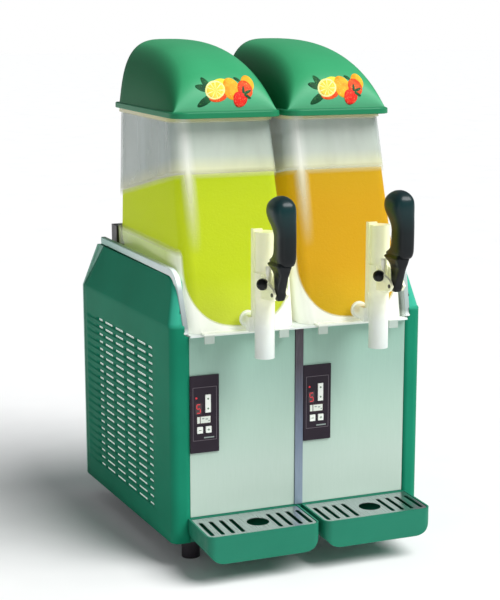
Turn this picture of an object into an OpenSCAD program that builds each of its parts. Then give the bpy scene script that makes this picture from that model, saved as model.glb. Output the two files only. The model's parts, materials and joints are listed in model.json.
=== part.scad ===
// Twin-bowl slush machine.
// Row frame: X to the right, Y to the back, Z up, origin on the ground in the middle of the
// overall width and depth. Each module is drawn in cabinet coordinates, where y = 0 is the
// front panels' outer face, and placed() moves it into the row frame.

/* [Cabinet] */
// Width over the side shells at the back
body_w = 497; // [490:1:510]
// Width over the side shells at the front, less than at the back
front_w = 436; // [432:1:440]
// Depth from the front panels to the rear panel
body_d = 413; // [405:1:425]
// Height of the cabinet's underside above the ground
foot_h = 42; // [38:1:46]
// Height of the crease where the side shells start to lean in
crease_z = 396; // [392:1:398]
// Height of the shells' top edge
shoulder_z = 468; // [466:1:472]
// Thickness of the moulded shells
shell_t = 3; // [2.5:0.5:4]
// Radius of the cabinet's front corners
corner_r = 14; // [12:1:16]
// Width of the two front panels together
panels_w = 378; // [370:1:384]
// Height of the front panels' lower edge
panel_z0 = 84; // [82:1:88]

/* [Louvres] */
// Rows of slots in each side shell
louvre_rows = 21; // [12:1:21]
// Full slots in each row, between two shorter ones
louvre_slots = 4; // [2:1:4]
// Height of one slot
slot_h = 3.6; // [2:0.2:5]
// Length of one slot
slot_l = 38; // [25:1:42]

/* [Bowls] */
// Distance between the centre lines of the two bowls
bowl_pitch = 194; // [194:1:198]
// Height of the augers' axis
axis_z = 480; // [480:1:482]
// Height of the bowls' rim
bowl_top = 713; // [690:1:740]
// Half the width of a bowl at its rim
bowl_half_top = 87; // [82:1:89]
// Half the width of a bowl at its skirt
bowl_half_low = 93; // [92.5:0.5:93.5]
// Wall thickness of a bowl
bowl_t = 3; // [2.5:0.5:3]
// Inner radius of the round mouth at the back of the trough
trough_r = 86; // [86:0.5:86.5]
// Height of the slush at the front wall
slush_front_z = 626; // [600:1:650]
// Height of the slush at the rear wall
slush_rear_z = 566; // [564:1:600]

/* [Lids] */
// Height of a lid above the bowl's rim
lid_h = 119; // [100:1:130]
// Half the width of a lid's lip
lid_half_w = 93; // [92:1:95]

/* [Taps] */
// Offset of a tap's axis from its bowl's centre line
tap_dx = 5; // [0:1:8]
// Distance of a tap's axis in front of the panels
tap_reach = 75; // [72:1:80]
// Outer radius of a tap's column
tap_r = 15.5; // [15:0.5:16]
// Height of a tap's top
tap_top = 552; // [552:1:560]
// Height of a tap's nozzle mouth
nozzle_z = 356; // [350:1:358]
// Height of a handle's top
handle_top = 613; // [600:1:630]
// Distance of a handle's front face in front of the panels
handle_reach = 163; // [162:1:168]

/* [Trays] */
// Width of one drip tray
tray_w = 190; // [180:1:192]
// Distance that a drip tray stands out in front
tray_reach = 96; // [90:1:104]
// Height of a drip tray's underside
tray_z0 = 38; // [30:1:44]
// Height of a drip tray's rim
tray_z1 = 83; // [82:1:83]

/* [Hidden] */
$fn = 48;

// Overall layout
screw_head = 2;
front_y = -(body_d + screw_head - handle_reach) / 2;
half_w = body_w / 2;
half_panels = panels_w / 2;
left_x = -bowl_pitch / 2;
right_x = bowl_pitch / 2;
eps = 0.01;

// Deck and shoulders: the deck is a tub whose sides lean out by tub_lean per mm of height at
// the front, and by tub_flare more for each mm further back
deck_z = 383;
deck_t = 3;
deck_front = -8;
strip_h = 12;
strip_w = 6.5;
shoulder_front = 198;
shoulder_rear = 215;
tub_lean = 0.045;
tub_flare = 0.00033;
front_lean = 0.30;
front_fillet = 36;

// Green of the shells, lids and trays, and the other finishes
shell_green = [0.13, 0.45, 0.35];
lid_green = [0.28, 0.70, 0.50];
panel_silver = [0.62, 0.75, 0.68];
clear_white = [0.90, 0.94, 0.92];
dark_plastic = [0.16, 0.13, 0.17];
handle_black = [0.10, 0.13, 0.15];
steel = [0.76, 0.77, 0.78];
rubber_black = [0.10, 0.10, 0.11];
copper = [0.75, 0.45, 0.28];

module placed() { translate([0, front_y, 0]) children(); }
module along_y() { rotate([-90, 0, 0]) children(); }
module along_x() { rotate([0, 90, 0]) children(); }
// Draws a side outline, given as [y, z] points, as a slab centred on x = 0
module side_slab(width, points) {
    translate([-width / 2, 0, 0])
        rotate([90, 0, 90])
            linear_extrude(width) polygon(points);
}
// Draws a front outline, given as [x, z] points, as a slab from y0 to y1
module front_slab(y0, y1, points) {
    translate([0, y1, 0])
        rotate([90, 0, 0])
            linear_extrude(y1 - y0) polygon(points);
}
module box(low, high) { translate(low) cube(high - low); }
// Joins rings of points, each listed anticlockwise as seen from the end that they run to
module loft(rings) {
    n = len(rings[0]);
    m = len(rings);
    polyhedron(
        points = [for (ring = rings) each ring],
        faces = [
            [for (i = [0 : n - 1]) i],
            for (k = [0 : m - 2], i = [0 : n - 1]) each [
                [k * n + i, (k + 1) * n + i, (k + 1) * n + (i + 1) % n],
                [k * n + i, (k + 1) * n + (i + 1) % n, k * n + (i + 1) % n]
            ],
            [for (i = [n - 1 : -1 : 0]) (m - 1) * n + i]
        ],
        convexity = 6);
}
function arc(cx, cy, r, a0, a1, n) =
    [for (i = [0 : n]) let (a = a0 + (a1 - a0) * i / n) [cx + r * cos(a), cy + r * sin(a)]];
function lift(points, z) = [for (p = points) [p[0], p[1], z]];
// Rounds the inner corners of a route, starting each bend r before its corner
function towards(p, q, r) = p + (q - p) * min(0.45, r / norm(q - p));
function bent(p, r) = [
    p[0],
    for (i = [1 : len(p) - 2])
        let (before = towards(p[i], p[i - 1], r), after = towards(p[i], p[i + 1], r))
        each [before, (before + 2 * p[i] + after) / 4, after],
    p[len(p) - 1]];
// A ring of points slid along direction d until it lies in the plane through p with normal n
function slid(ring, d, p, n) = [for (q = ring) q + d * (((p - q) * n) / (d * n))];
function swept(p, ring, i = 1) =
    i == len(p) ? [ring]
    : let (d = p[i] - p[i - 1],
           e = i < len(p) - 1 ? p[i + 1] - p[i] : d)
      concat([ring], swept(p, slid(ring, d, p[i], d / norm(d) + e / norm(e)), i + 1));
// A pipe of radius r along a route of points
module pipe_run(route, r) {
    sides = 12;
    p = bent(route, 12);
    d = (p[1] - p[0]) / norm(p[1] - p[0]);
    u = cross(d, abs(d[2]) > 0.9 ? [0, 1, 0] : [0, 0, 1]);
    v = cross(d, u);
    ring = [for (i = [0 : sides - 1])
        let (a = 360 * i / sides) p[0] + r * (cos(a) * u + sin(a) * v)];
    loft(swept(p, ring));
}

// Front slope shared by the shoulders and the strip: straight, then rounded into the top
fillet_turn = 90 - atan(front_lean);
fillet_run = front_fillet * tan(fillet_turn / 2);
function slope_y(z, top) =
    let (corner_y = front_lean * (top - deck_z),
         start_z = top - fillet_run * cos(atan(front_lean)),
         centre_y = corner_y + fillet_run,
         centre_z = top - front_fillet)
    z <= crease_z ? 0
    : z <= start_z ? front_lean * (z - deck_z)
    : centre_y - sqrt(max(0, pow(front_fillet, 2) - pow(z - centre_z, 2)));
slope_start = shoulder_z - fillet_run * cos(atan(front_lean));
shoulder_steps = [
    crease_z, slope_start,
    for (i = [1 : 6]) slope_start + (shoulder_z - slope_start) * sin(i * 15)
];
// Half the cabinet's width at a distance y back and a height z
function side_half(y, z) =
    let (low = front_w / 2 + (half_w - front_w / 2) * y / body_d,
         high = shoulder_front + (shoulder_rear - shoulder_front) * y / body_d)
    low + (high - low) * max(0, z - crease_z) / (shoulder_z + strip_h - crease_z);
function cabinet_ring(z, inset, rear) =
    let (front = slope_y(z, shoulder_z) + inset, r = corner_r - inset,
         hw = side_half(front + r, z) - inset, rear_half = side_half(rear, z) - inset)
    lift(concat(arc(-hw + r, front + r, r, 180, 270, 8), arc(hw - r, front + r, r, 270, 360, 8),
                [[rear_half, rear], [-rear_half, rear]]), z);
module cabinet_volume(inset, rear) {
    loft([cabinet_ring(foot_h, inset, rear), for (z = shoulder_steps) cabinet_ring(z, inset, rear)]);
}
// Space between the shells' inner edges: the front panels below, the leaning tub above.
// grow widens the tub and grow_low the part below the deck
function tub_half(y, z) = half_panels + max(0, z - deck_z) * (tub_lean + tub_flare * y);
function tub_ring(z, front, rear, grow) =
    let (f = tub_half(front, z) + grow, r = tub_half(rear, z) + grow)
    lift([[-f, front], [f, front], [r, rear], [-r, rear]], z);
module tub_volume(grow, front, rear, grow_low = 0) {
    low = half_panels + grow_low;
    step_z = deck_z - deck_t - 0.3;
    box([-low, front, 0], [low, rear, step_z + eps]);
    loft([for (z = [step_z, deck_z, shoulder_z + strip_h + 1]) tub_ring(z, front, rear, grow)]);
}

// ---- Cabinet ----
module side_shell(side) {
    louvre_pitch_z = 13.2;
    louvre_pitch_y = 51;
    louvre_y0 = 133.5;
    louvre_z0 = 83;
    end_slot = slot_l / 2;
    // [centre, length] of each slot in a row, with a shorter one at each end
    slots = concat([[louvre_y0 - louvre_pitch_y + 11.5, end_slot],
                    [louvre_y0 + louvre_pitch_y * louvre_slots - 10, end_slot]],
                   [for (k = [0 : louvre_slots - 1]) [louvre_y0 + louvre_pitch_y * k, slot_l]]);
    color(shell_green) placed() difference() {
        cabinet_volume(0, body_d - 5);
        translate([0, 0, -eps]) intersection() {
            cabinet_volume(shell_t, body_d + 1);
            translate([-300, -10, 0]) cube([600, 500, shoulder_z - shell_t]);
        }
        translate([-300, shell_t * 2, foot_h - 1]) cube([600, body_d, 5]);
        tub_volume(strip_w, -1, body_d + 1, 0.1);
        translate([-side * 400, 200, 250]) cube([800, 500, 600], center = true);
        // Upper rear corner is cut back to show the rear panel's flange
        side_slab(600, [[body_d - 4, crease_z], [body_d - 33, shoulder_z + 1], [body_d + 5, shoulder_z + 1],
                        [body_d + 5, crease_z]]);
        for (row = [0 : louvre_rows - 1], slot = slots)
            translate([side * side_half(slot[0], 0), slot[0], louvre_z0 + louvre_pitch_z * row])
                cube([20, slot[1], slot_h], center = true);
    }
}
module left_side_shell() { side_shell(-1); }
module right_side_shell() { side_shell(1); }

module chassis() {
    color(steel) placed() difference() {
        union() {
            translate([0, 0, foot_h]) linear_extrude(2)
                polygon([[-pan_half(8), 8], [pan_half(8), 8], [pan_half(body_d - 8), body_d - 8],
                         [-pan_half(body_d - 8), body_d - 8]]);
            for (side = [-1, 1]) {
                // Upturned edge of the pan, uprights and rails under the deck
                side_wall(side, 9, 2, 8, body_d - 8, foot_h, 62);
                for (y = [16, body_d - 34])
                    box([side * 190 - 10, y, foot_h], [side * 190 + 10, y + 20, deck_z - deck_t]);
                box([side * 190 - 10, 16, deck_z - deck_t - 16],
                    [side * 190 + 10, body_d - 14, deck_z - deck_t]);
            }
        }
        for (p = foot_places) translate([p[0], p[1], foot_h - 1]) cylinder(r = 4.2, h = 10);
    }
}
function pan_half(y) = side_half(y, 0) - 9;
// An upright wall that follows the cabinet's tapered side, t thick and inset from its outside
module side_wall(side, inset, t, y0, y1, z0, z1) {
    f = side_half(y0, 0) - inset;
    r = side_half(y1, 0) - inset;
    translate([0, 0, z0]) linear_extrude(z1 - z0)
        polygon([[side * f, y0], [side * r, y1], [side * (r - t), y1], [side * (f - t), y0]]);
}
foot_places = [[-172, 50], [172, 50], [-150, 350], [150, 350]];
module feet() {
    color(rubber_black) placed()
        for (p = foot_places) translate([p[0], p[1], 0]) difference() {
            union() {
                cylinder(r = 15, h = foot_h - 6);
                translate([0, 0, foot_h - 6]) cylinder(r = 12, h = 6);
            }
            translate([0, 0, 12]) cylinder(r = 4.05, h = foot_h);
        }
}
module foot_bolts() {
    color(steel) placed()
        for (p = foot_places) translate([p[0], p[1], 12]) {
            cylinder(r = 4, h = foot_h);
            translate([0, 0, foot_h - 10]) cylinder(r = 7.5, h = 6, $fn = 6);
        }
}
module front_rail() {
    color(shell_green) placed() difference() {
        union() {
            box([-half_panels + 0.3, 0, foot_h + 0.5], [half_panels - 0.3, 3, panel_z0 - 0.3]);
            box([-half_panels + 0.3, 3, foot_h + 2], [half_panels - 0.3, 8, foot_h + 5]);
        }
        for (x = hook_places) box([x - 11, -1, 60], [x + 11, 4, 68]);
    }
}
module front_panel(x0, x1) {
    color(panel_silver) placed() difference() {
        box([x0, 0.4, panel_z0], [x1, 3, deck_z - deck_t - 0.3]);
        for (x = bezel_places)
            box([x + 4, 0, bezel_z0 + 8], [x + bezel_w - 4, 4, bezel_z0 + bezel_h - 8]);
    }
}
trim_x0 = -8.5;
trim_x1 = 5.5;
module left_front_panel() { front_panel(-half_panels + 0.3, trim_x0 - 0.2); }
module right_front_panel() { front_panel(trim_x1 + 0.2, half_panels - 0.3); }
module centre_trim() {
    color([0.28, 0.28, 0.34]) placed()
        box([trim_x0, -1.5, panel_z0], [trim_x1, 3, deck_z - deck_t - 0.3]);
}
module rear_panel() {
    flange = 30;
    color([0.70, 0.80, 0.75]) placed() difference() {
        union() {
            // Flat rear sheet, as wide as the shells
            loft([for (z = [foot_h + 1, crease_z, shoulder_z])
                let (w = side_half(body_d, z))
                lift([[-w, body_d - 4.6], [w, body_d - 4.6], [w, body_d], [-w, body_d]], z)]);
            // Side flanges that reach forward inside the shells
            difference() {
                cabinet_volume(shell_t + 0.6, body_d - 4);
                cabinet_volume(shell_t + 2.6, body_d + 1);
                translate([-300, -10, 0]) cube([600, body_d - flange + 10, 600]);
                tub_volume(strip_w + 0.5, -1, body_d + 1);
                translate([-300, -10, 0]) cube([600, 500, foot_h + 4]);
            }
        }
        box([-half_panels - 3, body_d - 60, deck_z - 90], [half_panels + 3, body_d - 4.6, 600]);
        translate([0, 0, shoulder_z - 1]) box([-300, body_d - 60, 0], [300, body_d - 4.6, 20]);
        for (row = [0 : 11], x = [-60, 60])
            translate([x, body_d, 100 + 12 * row]) cube([80, 30, 4], center = true);
        translate([gland_x, body_d - 20, gland_z]) along_y() cylinder(r = 10.2, h = 40);
    }
}
module top_deck() {
    top = shoulder_z + strip_h;
    color(clear_white) placed() difference() {
        union() {
            // Floor with its front ledge
            box([-half_panels, deck_front, deck_z - deck_t], [half_panels, body_d - 5, deck_z]);
            // Leaning sides with a bead along their edge
            difference() {
                tub_volume(strip_w - 0.3, 0.2, body_d - 5);
                tub_volume(0, -1, body_d + 1);
                translate([-300, -1, -1]) cube([600, body_d + 2, deck_z - deck_t + 1]);
                deck_shoulder_cut(top);
                // Behind the bead the sides are thin
                intersection() {
                    tub_volume(strip_w + 1, -1, body_d + 1);
                    difference() {
                        translate([-300, -1, deck_z - 5]) cube([600, body_d - 13, shoulder_z - deck_z + 3]);
                        tub_volume(deck_t, -2, body_d + 1);
                        deck_shoulder_cut(top, 14);
                    }
                }
            }
        }
        // Openings for the gearboxes behind the bowls
        for (x = [left_x, right_x]) box([x - 42, body_d - 40, deck_z - 10], [x + 42, body_d - 7, deck_z + 5]);
    }
}
// Everything above and in front of the rounded front slope, pushed in by inset
module deck_shoulder_cut(top, inset = 0) {
    start_z = top - fillet_run * cos(atan(front_lean));
    steps = [for (i = [0 : 6]) start_z + (top - start_z) * sin(i * 15)];
    points = [[inset, deck_z - 20], for (z = steps) [slope_y(z, top) + inset, z - inset * 0.8]];
    side_slab(600, concat([[-50, deck_z - 20]], points,
                          [[body_d + 20, top - inset * 0.8], [body_d + 20, top + 60], [-50, top + 60]]));
}
module screw_at(p, turn) {
    translate(p) rotate(turn) {
        cylinder(r = 4, h = screw_head, $fn = 32);
        translate([0, 0, -8]) cylinder(r = 1.8, h = 8.5, $fn = 24);
    }
}
module cabinet_screws() {
    color(steel) placed() {
        for (side = [-1, 1], z = [70, 220, 370]) screw_at([side * 225, body_d, z], [-90, 0, 0]);
    }
}

// ---- Cooling ----
compressor_x = 105;
compressor_y = 245;
module compressor() {
    color([0.12, 0.12, 0.13]) placed() translate([compressor_x, compressor_y, 0]) {
        translate([0, 0, 64]) rotate_extrude()
            polygon(concat([[0, 0]], arc(48, 22, 22, -90, 0, 6), [[70, 80]],
                           arc(30, 90, 40, 0, 90, 8), [[0, 130]]));
        difference() {
            translate([-80, -55, 60]) cube([160, 110, 5]);
            for (p = grommet_places) translate([p[0], p[1], 50]) cylinder(r = 6, h = 30);
        }
        translate([66, -20, 120]) cube([14, 40, 46]);
    }
}
grommet_places = [[-70, -45], [70, -45], [-70, 45], [70, 45]];
module compressor_grommets() {
    color(rubber_black) placed() translate([compressor_x, compressor_y, 0])
        for (p = grommet_places) translate([p[0], p[1], foot_h + 2]) {
            cylinder(r = 9, h = 16);
            cylinder(r = 5.7, h = 24);
        }
}
condenser_x = -201;
fin_half = 12;
module condenser() {
    color([0.78, 0.80, 0.82]) placed() {
        for (k = [0 : 41])
            box([condenser_x - fin_half, 68 + 6.5 * k, 76], [condenser_x + fin_half, 69 + 6.5 * k, 348]);
        for (k = [0 : 7]) {
            z = 96 + 33 * k;
            translate([condenser_x, 60, z]) along_y() cylinder(r = 4.5, h = 284, $fn = 24);
            if (k < 7) {
                bend_y = k % 2 == 0 ? 344 : 60;
                translate([condenser_x, bend_y, z + 16.5])
                    rotate([0, 90, 0])
                        rotate([0, 0, k % 2 == 0 ? 0 : 180])
                            rotate_extrude(angle = 180, $fn = 48)
                                translate([16.5, 0]) circle(r = 4.5, $fn = 24);
            }
        }
    }
}
module air_filters() {
    color([0.93, 0.94, 0.93]) placed()
        for (side = [-1, 1]) side_wall(side, shell_t + 0.4, 2, 28, body_d - 40, 74, 366);
}
fan_y = 205;
fan_z = 212;
module fan_shroud() {
    color([0.55, 0.57, 0.58]) placed() difference() {
        union() {
            box([-184, 62, 72], [-181, 348, 352]);
            for (y = [62, 345]) box([-184, y, 72], [-166, y + 3, 352]);
            translate([-181, fan_y, fan_z]) along_x() cylinder(r = 100, h = 16);
        }
        translate([-190, fan_y, fan_z]) along_x() cylinder(r = 96, h = 40);
    }
}
module fan_motor() {
    color([0.20, 0.21, 0.23]) placed() {
        translate([-146, fan_y, fan_z]) along_x() cylinder(r = 30, h = 44);
        translate([-160, fan_y, fan_z]) along_x() cylinder(r = 4, h = 16, $fn = 32);
        for (a = [45, 135, 225, 315]) translate([-140, fan_y, fan_z]) rotate([a, 0, 0]) {
            box([0, 26, -4], [3, 99, 4]);
            box([-25, 96.5, -4], [3, 99.5, 4]);
        }
    }
}
module fan_blade() {
    color([0.30, 0.32, 0.34]) placed() translate([-168, fan_y, fan_z]) along_x() {
        difference() {
            cylinder(r = 20, h = 14);
            translate([0, 0, 6]) cylinder(r = 4.05, h = 20, $fn = 32);
        }
        for (a = [0 : 72 : 359]) rotate([0, 0, a]) translate([52, 0, 7])
            rotate([24, 0, 0]) cube([68, 44, 2.4], center = true);
    }
}
riser_dx = 38.5;
back_y = body_d - 20;
// A pipe's way from an evaporator's rear flange down through the deck, on one side of x
function riser(x, side, foot) = [
    [x + side * 50, bowl_rear + 2, axis_z], [x + side * 50, back_y, axis_z],
    [x + side * riser_dx, back_y, axis_z - 20], [x + side * riser_dx, back_y, foot]];
module refrigerant_pipes() {
    front_run = 50;
    gas_z = 285;
    gas_x = compressor_x - 40;
    pump_y = compressor_y + 30;
    top_tube = 327;
    low_tube = 96;
    drier = [-5, 240, 275];
    valve = [-5, 330, 275];
    valve_size = [30, 24, 22];
    accumulator = [45, 340, 150];
    can_h = 90;
    can_top = accumulator[2] + can_h;
    color(copper) placed() {
        // Hot gas line to the condenser's upper tube
        pipe_run([[gas_x, pump_y, 180], [gas_x, pump_y, gas_z], [gas_x, front_run, gas_z],
                  [-172, front_run, gas_z], [-172, front_run, top_tube], [condenser_x, front_run, top_tube],
                  [condenser_x, 60, top_tube]], 3.5);
        // Liquid line through the filter drier to the valve that feeds both evaporators
        pipe_run([[condenser_x, 60, low_tube], [condenser_x, front_run, low_tube],
                  [drier[0], front_run, low_tube], [drier[0], front_run, drier[2]], drier], 3);
        translate(drier) along_y() cylinder(r = 11, h = 50);
        translate(valve) cube(valve_size, center = true);
        pipe_run([drier + [0, 50, 0], valve - [0, valve_size[1] / 2, 0]], 3);
        pipe_run(concat([valve - [valve_size[0] / 2, 0, 0], [left_x + riser_dx, valve[1], valve[2]]],
                        [for (i = [3 : -1 : 0]) riser(left_x, 1, 310)[i]]), 3);
        pipe_run(concat([valve + [valve_size[0] / 2, 0, 0], [right_x + riser_dx, valve[1], valve[2]]],
                        [for (i = [3 : -1 : 0]) riser(right_x, 1, 310)[i]]), 3);
        // Suction lines through the accumulator back to the compressor
        translate(accumulator) cylinder(r = 20, h = can_h);
        pipe_run(concat(riser(left_x, -1, 280),
                        [[left_x - riser_dx, 352, 256], [37, 352, 256], [37, 352, can_top]]), 3.2);
        pipe_run(concat(riser(right_x, -1, 280), [[right_x - riser_dx, 352, 256], [53, 352, 256],
                        [53, 352, can_top]]), 3.2);
        pipe_run([[45, 328, can_top], [45, 328, 252], [compressor_x + 20, pump_y, 252],
                  [compressor_x + 20, pump_y, 182]], 3.2);
    }
}
module control_box() {
    color([0.80, 0.81, 0.80]) placed() {
        box([-150, 30, 300], [150, 90, 372]);
        for (x = bezel_places) box([x + 3, 10, bezel_z0 + 6], [x + bezel_w - 3, 12, bezel_z0 + bezel_h - 6]);
        for (x = bezel_places) box([x + 20, 12, 300], [x + 60, 30, 306]);
    }
}

// ---- Drive and evaporators ----
evap_r = 62;
evap_y0 = 96;
evap_y1 = body_d - 41;
bowl_rear = body_d - 38;
shaft_r = 8;
function housing_outline(t) = [
    [-188 + t, deck_z - (t > 0 ? 1 : 0)], [188 - t, deck_z - (t > 0 ? 1 : 0)], [194 - t, deck_z + 36],
    [194 - t, 504 - t], [-194 + t, 504 - t], [-194 + t, deck_z + 36]];
module motor_housing() {
    color(dark_plastic) placed() difference() {
        union() {
            front_slab(bowl_rear + 2, body_d - 5, housing_outline(0));
            for (x = [left_x, right_x])
                translate([x, bowl_rear + 2, axis_z]) along_y() cylinder(r = 72, h = body_d - 7 - bowl_rear);
        }
        front_slab(bowl_rear + 6, body_d - 9, housing_outline(4));
        for (x = [left_x, right_x]) {
            translate([x, bowl_rear + 6, axis_z]) along_y() cylinder(r = 68, h = body_d - 15 - bowl_rear);
            translate([x, bowl_rear, axis_z]) along_y() cylinder(r = 30, h = 10);
            for (dx = [-50, 50]) translate([x + dx, bowl_rear, axis_z]) along_y() cylinder(r = 3.6, h = 10);
        }
    }
}
module gear_motors() {
    color([0.45, 0.47, 0.50]) placed()
        for (x = [left_x, right_x]) difference() {
            union() {
                box([x - 34, bowl_rear + 8, 300], [x + 34, body_d - 11, 516]);
                translate([x, bowl_rear - 75, 338]) along_y() cylinder(r = 38, h = 84);
                translate([x, bowl_rear - 2, axis_z]) along_y() cylinder(r = 20, h = 12);
            }
            translate([x, bowl_rear - 10, axis_z]) along_y() cylinder(r = shaft_r + 0.06, h = 32);
        }
}
module evaporators() {
    color(steel) placed()
        for (x = [left_x, right_x]) translate([x, 0, axis_z]) difference() {
            union() {
                translate([0, evap_y0, 0]) along_y() cylinder(r = evap_r, h = evap_y1 - evap_y0, $fn = 96);
                translate([0, evap_y1 - 4, 0]) along_y()
                    cylinder(r = 78, h = bowl_rear + 2 - evap_y1 + 4, $fn = 96);
            }
            translate([0, evap_y0 + 4, 0]) along_y()
                cylinder(r = evap_r - 2, h = evap_y1 - evap_y0 - 8, $fn = 96);
            translate([0, evap_y0 - 1, 0]) along_y() cylinder(r = shaft_r + 0.06, h = 300);
            translate([0, evap_y1 - 5, 0]) along_y() cylinder(r = 21, h = 40);
        }
}
module bowl_gaskets() {
    color(rubber_black) placed()
        for (x = [left_x, right_x]) translate([x, evap_y1 - 6, axis_z]) along_y() difference() {
            cylinder(r = trough_r - 0.6, h = 8, $fn = 96);
            translate([0, 0, -1]) cylinder(r = 78.1, h = 20, $fn = 96);
        }
}
auger_r = 82;
auger_in = 64.5;
auger_turns = 4;
auger_y0 = 84;
auger_y1 = evap_y1 - 10;
function helix_ring(k, steps) =
    let (a = 360 * auger_turns * k / steps,
         y = auger_y0 + 10 + (auger_y1 - auger_y0 - 16) * k / steps,
         corners = [[auger_in, 0], [auger_r, 0], [auger_r, 6], [auger_in, 6]])
    [for (c = corners) [c[0] * cos(a), y + c[1], c[0] * sin(a)]];
module helix_blade() {
    steps = auger_turns * 24;
    loft([for (k = [0 : steps]) helix_ring(k, steps)]);
}
module auger(x) {
    color([0.95, 0.95, 0.93]) placed() translate([x, 0, axis_z]) {
        helix_blade();
        // Front spokes, hub and the long bars that tie the turns together
        difference() {
            union() {
                translate([0, auger_y0, 0]) along_y() cylinder(r = 16, h = 10);
                for (a = [0, 180]) rotate([0, -a, 0]) {
                    box([0, auger_y0, -7], [auger_r - 8, auger_y0 + 8, 7]);
                    box([auger_r - 13, auger_y0, -5], [auger_r - 3, auger_y1, 5]);
                }
            }
            translate([0, auger_y0 + 3, 0]) along_y() cylinder(r = shaft_r, h = 20);
        }
    }
}
module left_auger() { auger(left_x); }
module right_auger() { auger(right_x); }
module drive_shaft(x) {
    color(steel) placed() translate([x, 0, axis_z]) {
        translate([0, auger_y0 + 3, 0]) along_y() cylinder(r = shaft_r, h = body_d - 18 - auger_y0 - 3);
    }
}
module left_drive_shaft() { drive_shaft(left_x); }
module right_drive_shaft() { drive_shaft(right_x); }

// ---- Bowls ----
skirt_z = 508;
skirt_low_half = 91.5;
skirt_top_half = 96;
bowl_lean = 0.28;
function bowl_front(z) = bowl_lean * (z - deck_z);
function bowl_half(z) =
    bowl_half_low - (bowl_half_low - bowl_half_top) * max(0, z - skirt_z) / (bowl_top - skirt_z);
function bowl_ring(z, half, inset, r) =
    let (front = bowl_front(z) + inset, rear = bowl_rear - inset, w = half - inset)
    lift(concat(arc(-w + r, front + r, r, 180, 270, 8), arc(w - r, front + r, r, 270, 360, 8),
                arc(w - 8, rear - 8, 8, 0, 90, 3), arc(-w + 8, rear - 8, 8, 90, 180, 3)), z);
module bowl_outside() {
    rim_z = bowl_top - 7;
    loft([bowl_ring(deck_z + 0.3, skirt_low_half, 0, 24), bowl_ring(skirt_z - 3, skirt_top_half, 0, 24),
          bowl_ring(skirt_z, skirt_top_half - 0.5, 0, 24), bowl_ring(skirt_z + 0.5, bowl_half(skirt_z), 0, 24),
          bowl_ring(rim_z, bowl_half(rim_z), 0, 24), bowl_ring(rim_z + 1, bowl_half(rim_z) + 1.6, -1.6, 24),
          bowl_ring(bowl_top, bowl_half(bowl_top) + 1.6, -1.6, 24)]);
}
// Trough below the auger's axis: a full U, wider at its foot than a half circle
trough_half = 90;
trough_depth = 90;
trough_power = 2.4;
mouth_y = bowl_rear - 22;
module trough(grow, rear) {
    front_slab(-50, rear, concat(
        [[trough_half + grow, axis_z + 1]],
        [for (i = [0 : 36]) let (a = -5 * i)
            [(trough_half + grow) * sign(cos(a)) * pow(abs(cos(a)), 2 / trough_power),
             axis_z - (trough_depth + grow) * pow(abs(sin(a)), 2 / trough_power)]],
        [[-trough_half - grow, axis_z + 1]]));
}
module bowl_inside(gap) {
    inset = bowl_t + gap;
    intersection() {
        loft([bowl_ring(axis_z - 110, bowl_half_low, inset, 21), bowl_ring(skirt_z, bowl_half_low, inset, 21),
              bowl_ring(bowl_top + 10, bowl_half_top, inset, 21)]);
        union() {
            translate([-200, -50, axis_z]) cube([400, 600, 400]);
            trough(-gap, mouth_y);
            translate([0, mouth_y - 1, axis_z]) along_y() cylinder(r = trough_r - gap, h = 100, $fn = 96);
        }
    }
}
outlet_z = axis_z - trough_depth + 13;
module bowl(x) {
    color([0.88, 0.93, 0.90, 0.35]) placed() translate([x, 0, 0]) difference() {
        union() {
            difference() {
                bowl_outside();
                bowl_inside(0);
                // Hollow under the trough, inside the skirt
                difference() {
                    loft([bowl_ring(deck_z - 10, skirt_low_half - 0.4, 2.5, 20),
                          bowl_ring(skirt_z - 3, skirt_top_half, 2.5, 20)]);
                    translate([-200, -50, axis_z]) cube([400, 600, 400]);
                    trough(bowl_t, body_d);
                }
            }
            // Outlet boss, front lip and the two hooks that drop over the ledge
            difference() {
                translate([tap_dx, -2, outlet_z]) along_y() cylinder(r = 12, h = 14);
                bowl_inside(0);
            }
            box([-72, -15, deck_z + 0.3], [72, 4, deck_z + 3.3]);
            for (hx = [-63, 63]) box([hx - 8, -15, 370], [hx + 8, -11.5, deck_z + 3.3]);
        }
        translate([tap_dx, -10, outlet_z]) along_y() cylinder(r = 9, h = 30);
        // Rear mouth that seals on the gasket
        translate([0, bowl_rear - 20, axis_z]) along_y() cylinder(r = trough_r, h = 40, $fn = 96);
        // The skirt stays clear of the motor housing at the back
        box([-120, bowl_rear - 3, deck_z - 5], [120, bowl_rear + 5, axis_z - 60]);
    }
}
module left_bowl() { bowl(left_x); }
module right_bowl() { bowl(right_x); }
module slush(x, tint) {
    color(tint) placed() translate([x, 0, 0]) difference() {
        intersection() {
            bowl_inside(0.4);
            side_slab(400, [[-20, 380], [400, 380], [400, slush_rear_z - 3], [260, slush_rear_z + 24],
                            [150, slush_front_z - 14], [70, slush_front_z], [-20, slush_front_z]]);
        }
        translate([0, auger_y0 - 3, axis_z]) along_y() cylinder(r = auger_r + 1, h = 400, $fn = 96);
        translate([0, evap_y1 - 12, axis_z]) along_y() cylinder(r = trough_r + 1, h = 40, $fn = 96);
    }
}
module left_slush() { slush(left_x, [0.72, 0.85, 0.16]); }
module right_slush() { slush(right_x, [0.90, 0.62, 0.08]); }

// ---- Lids ----
lid_front = 62;
lid_rear = body_d - 23;
lip_h = 10;
lid_steps = 12;
dome_rear = lid_rear - 24;
dome_front = lid_front + 16;
dome_power = 2.4;
arch_power = 0.58;
function crown(u) = pow(1 - pow(u, dome_power), 1 / dome_power);
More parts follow.
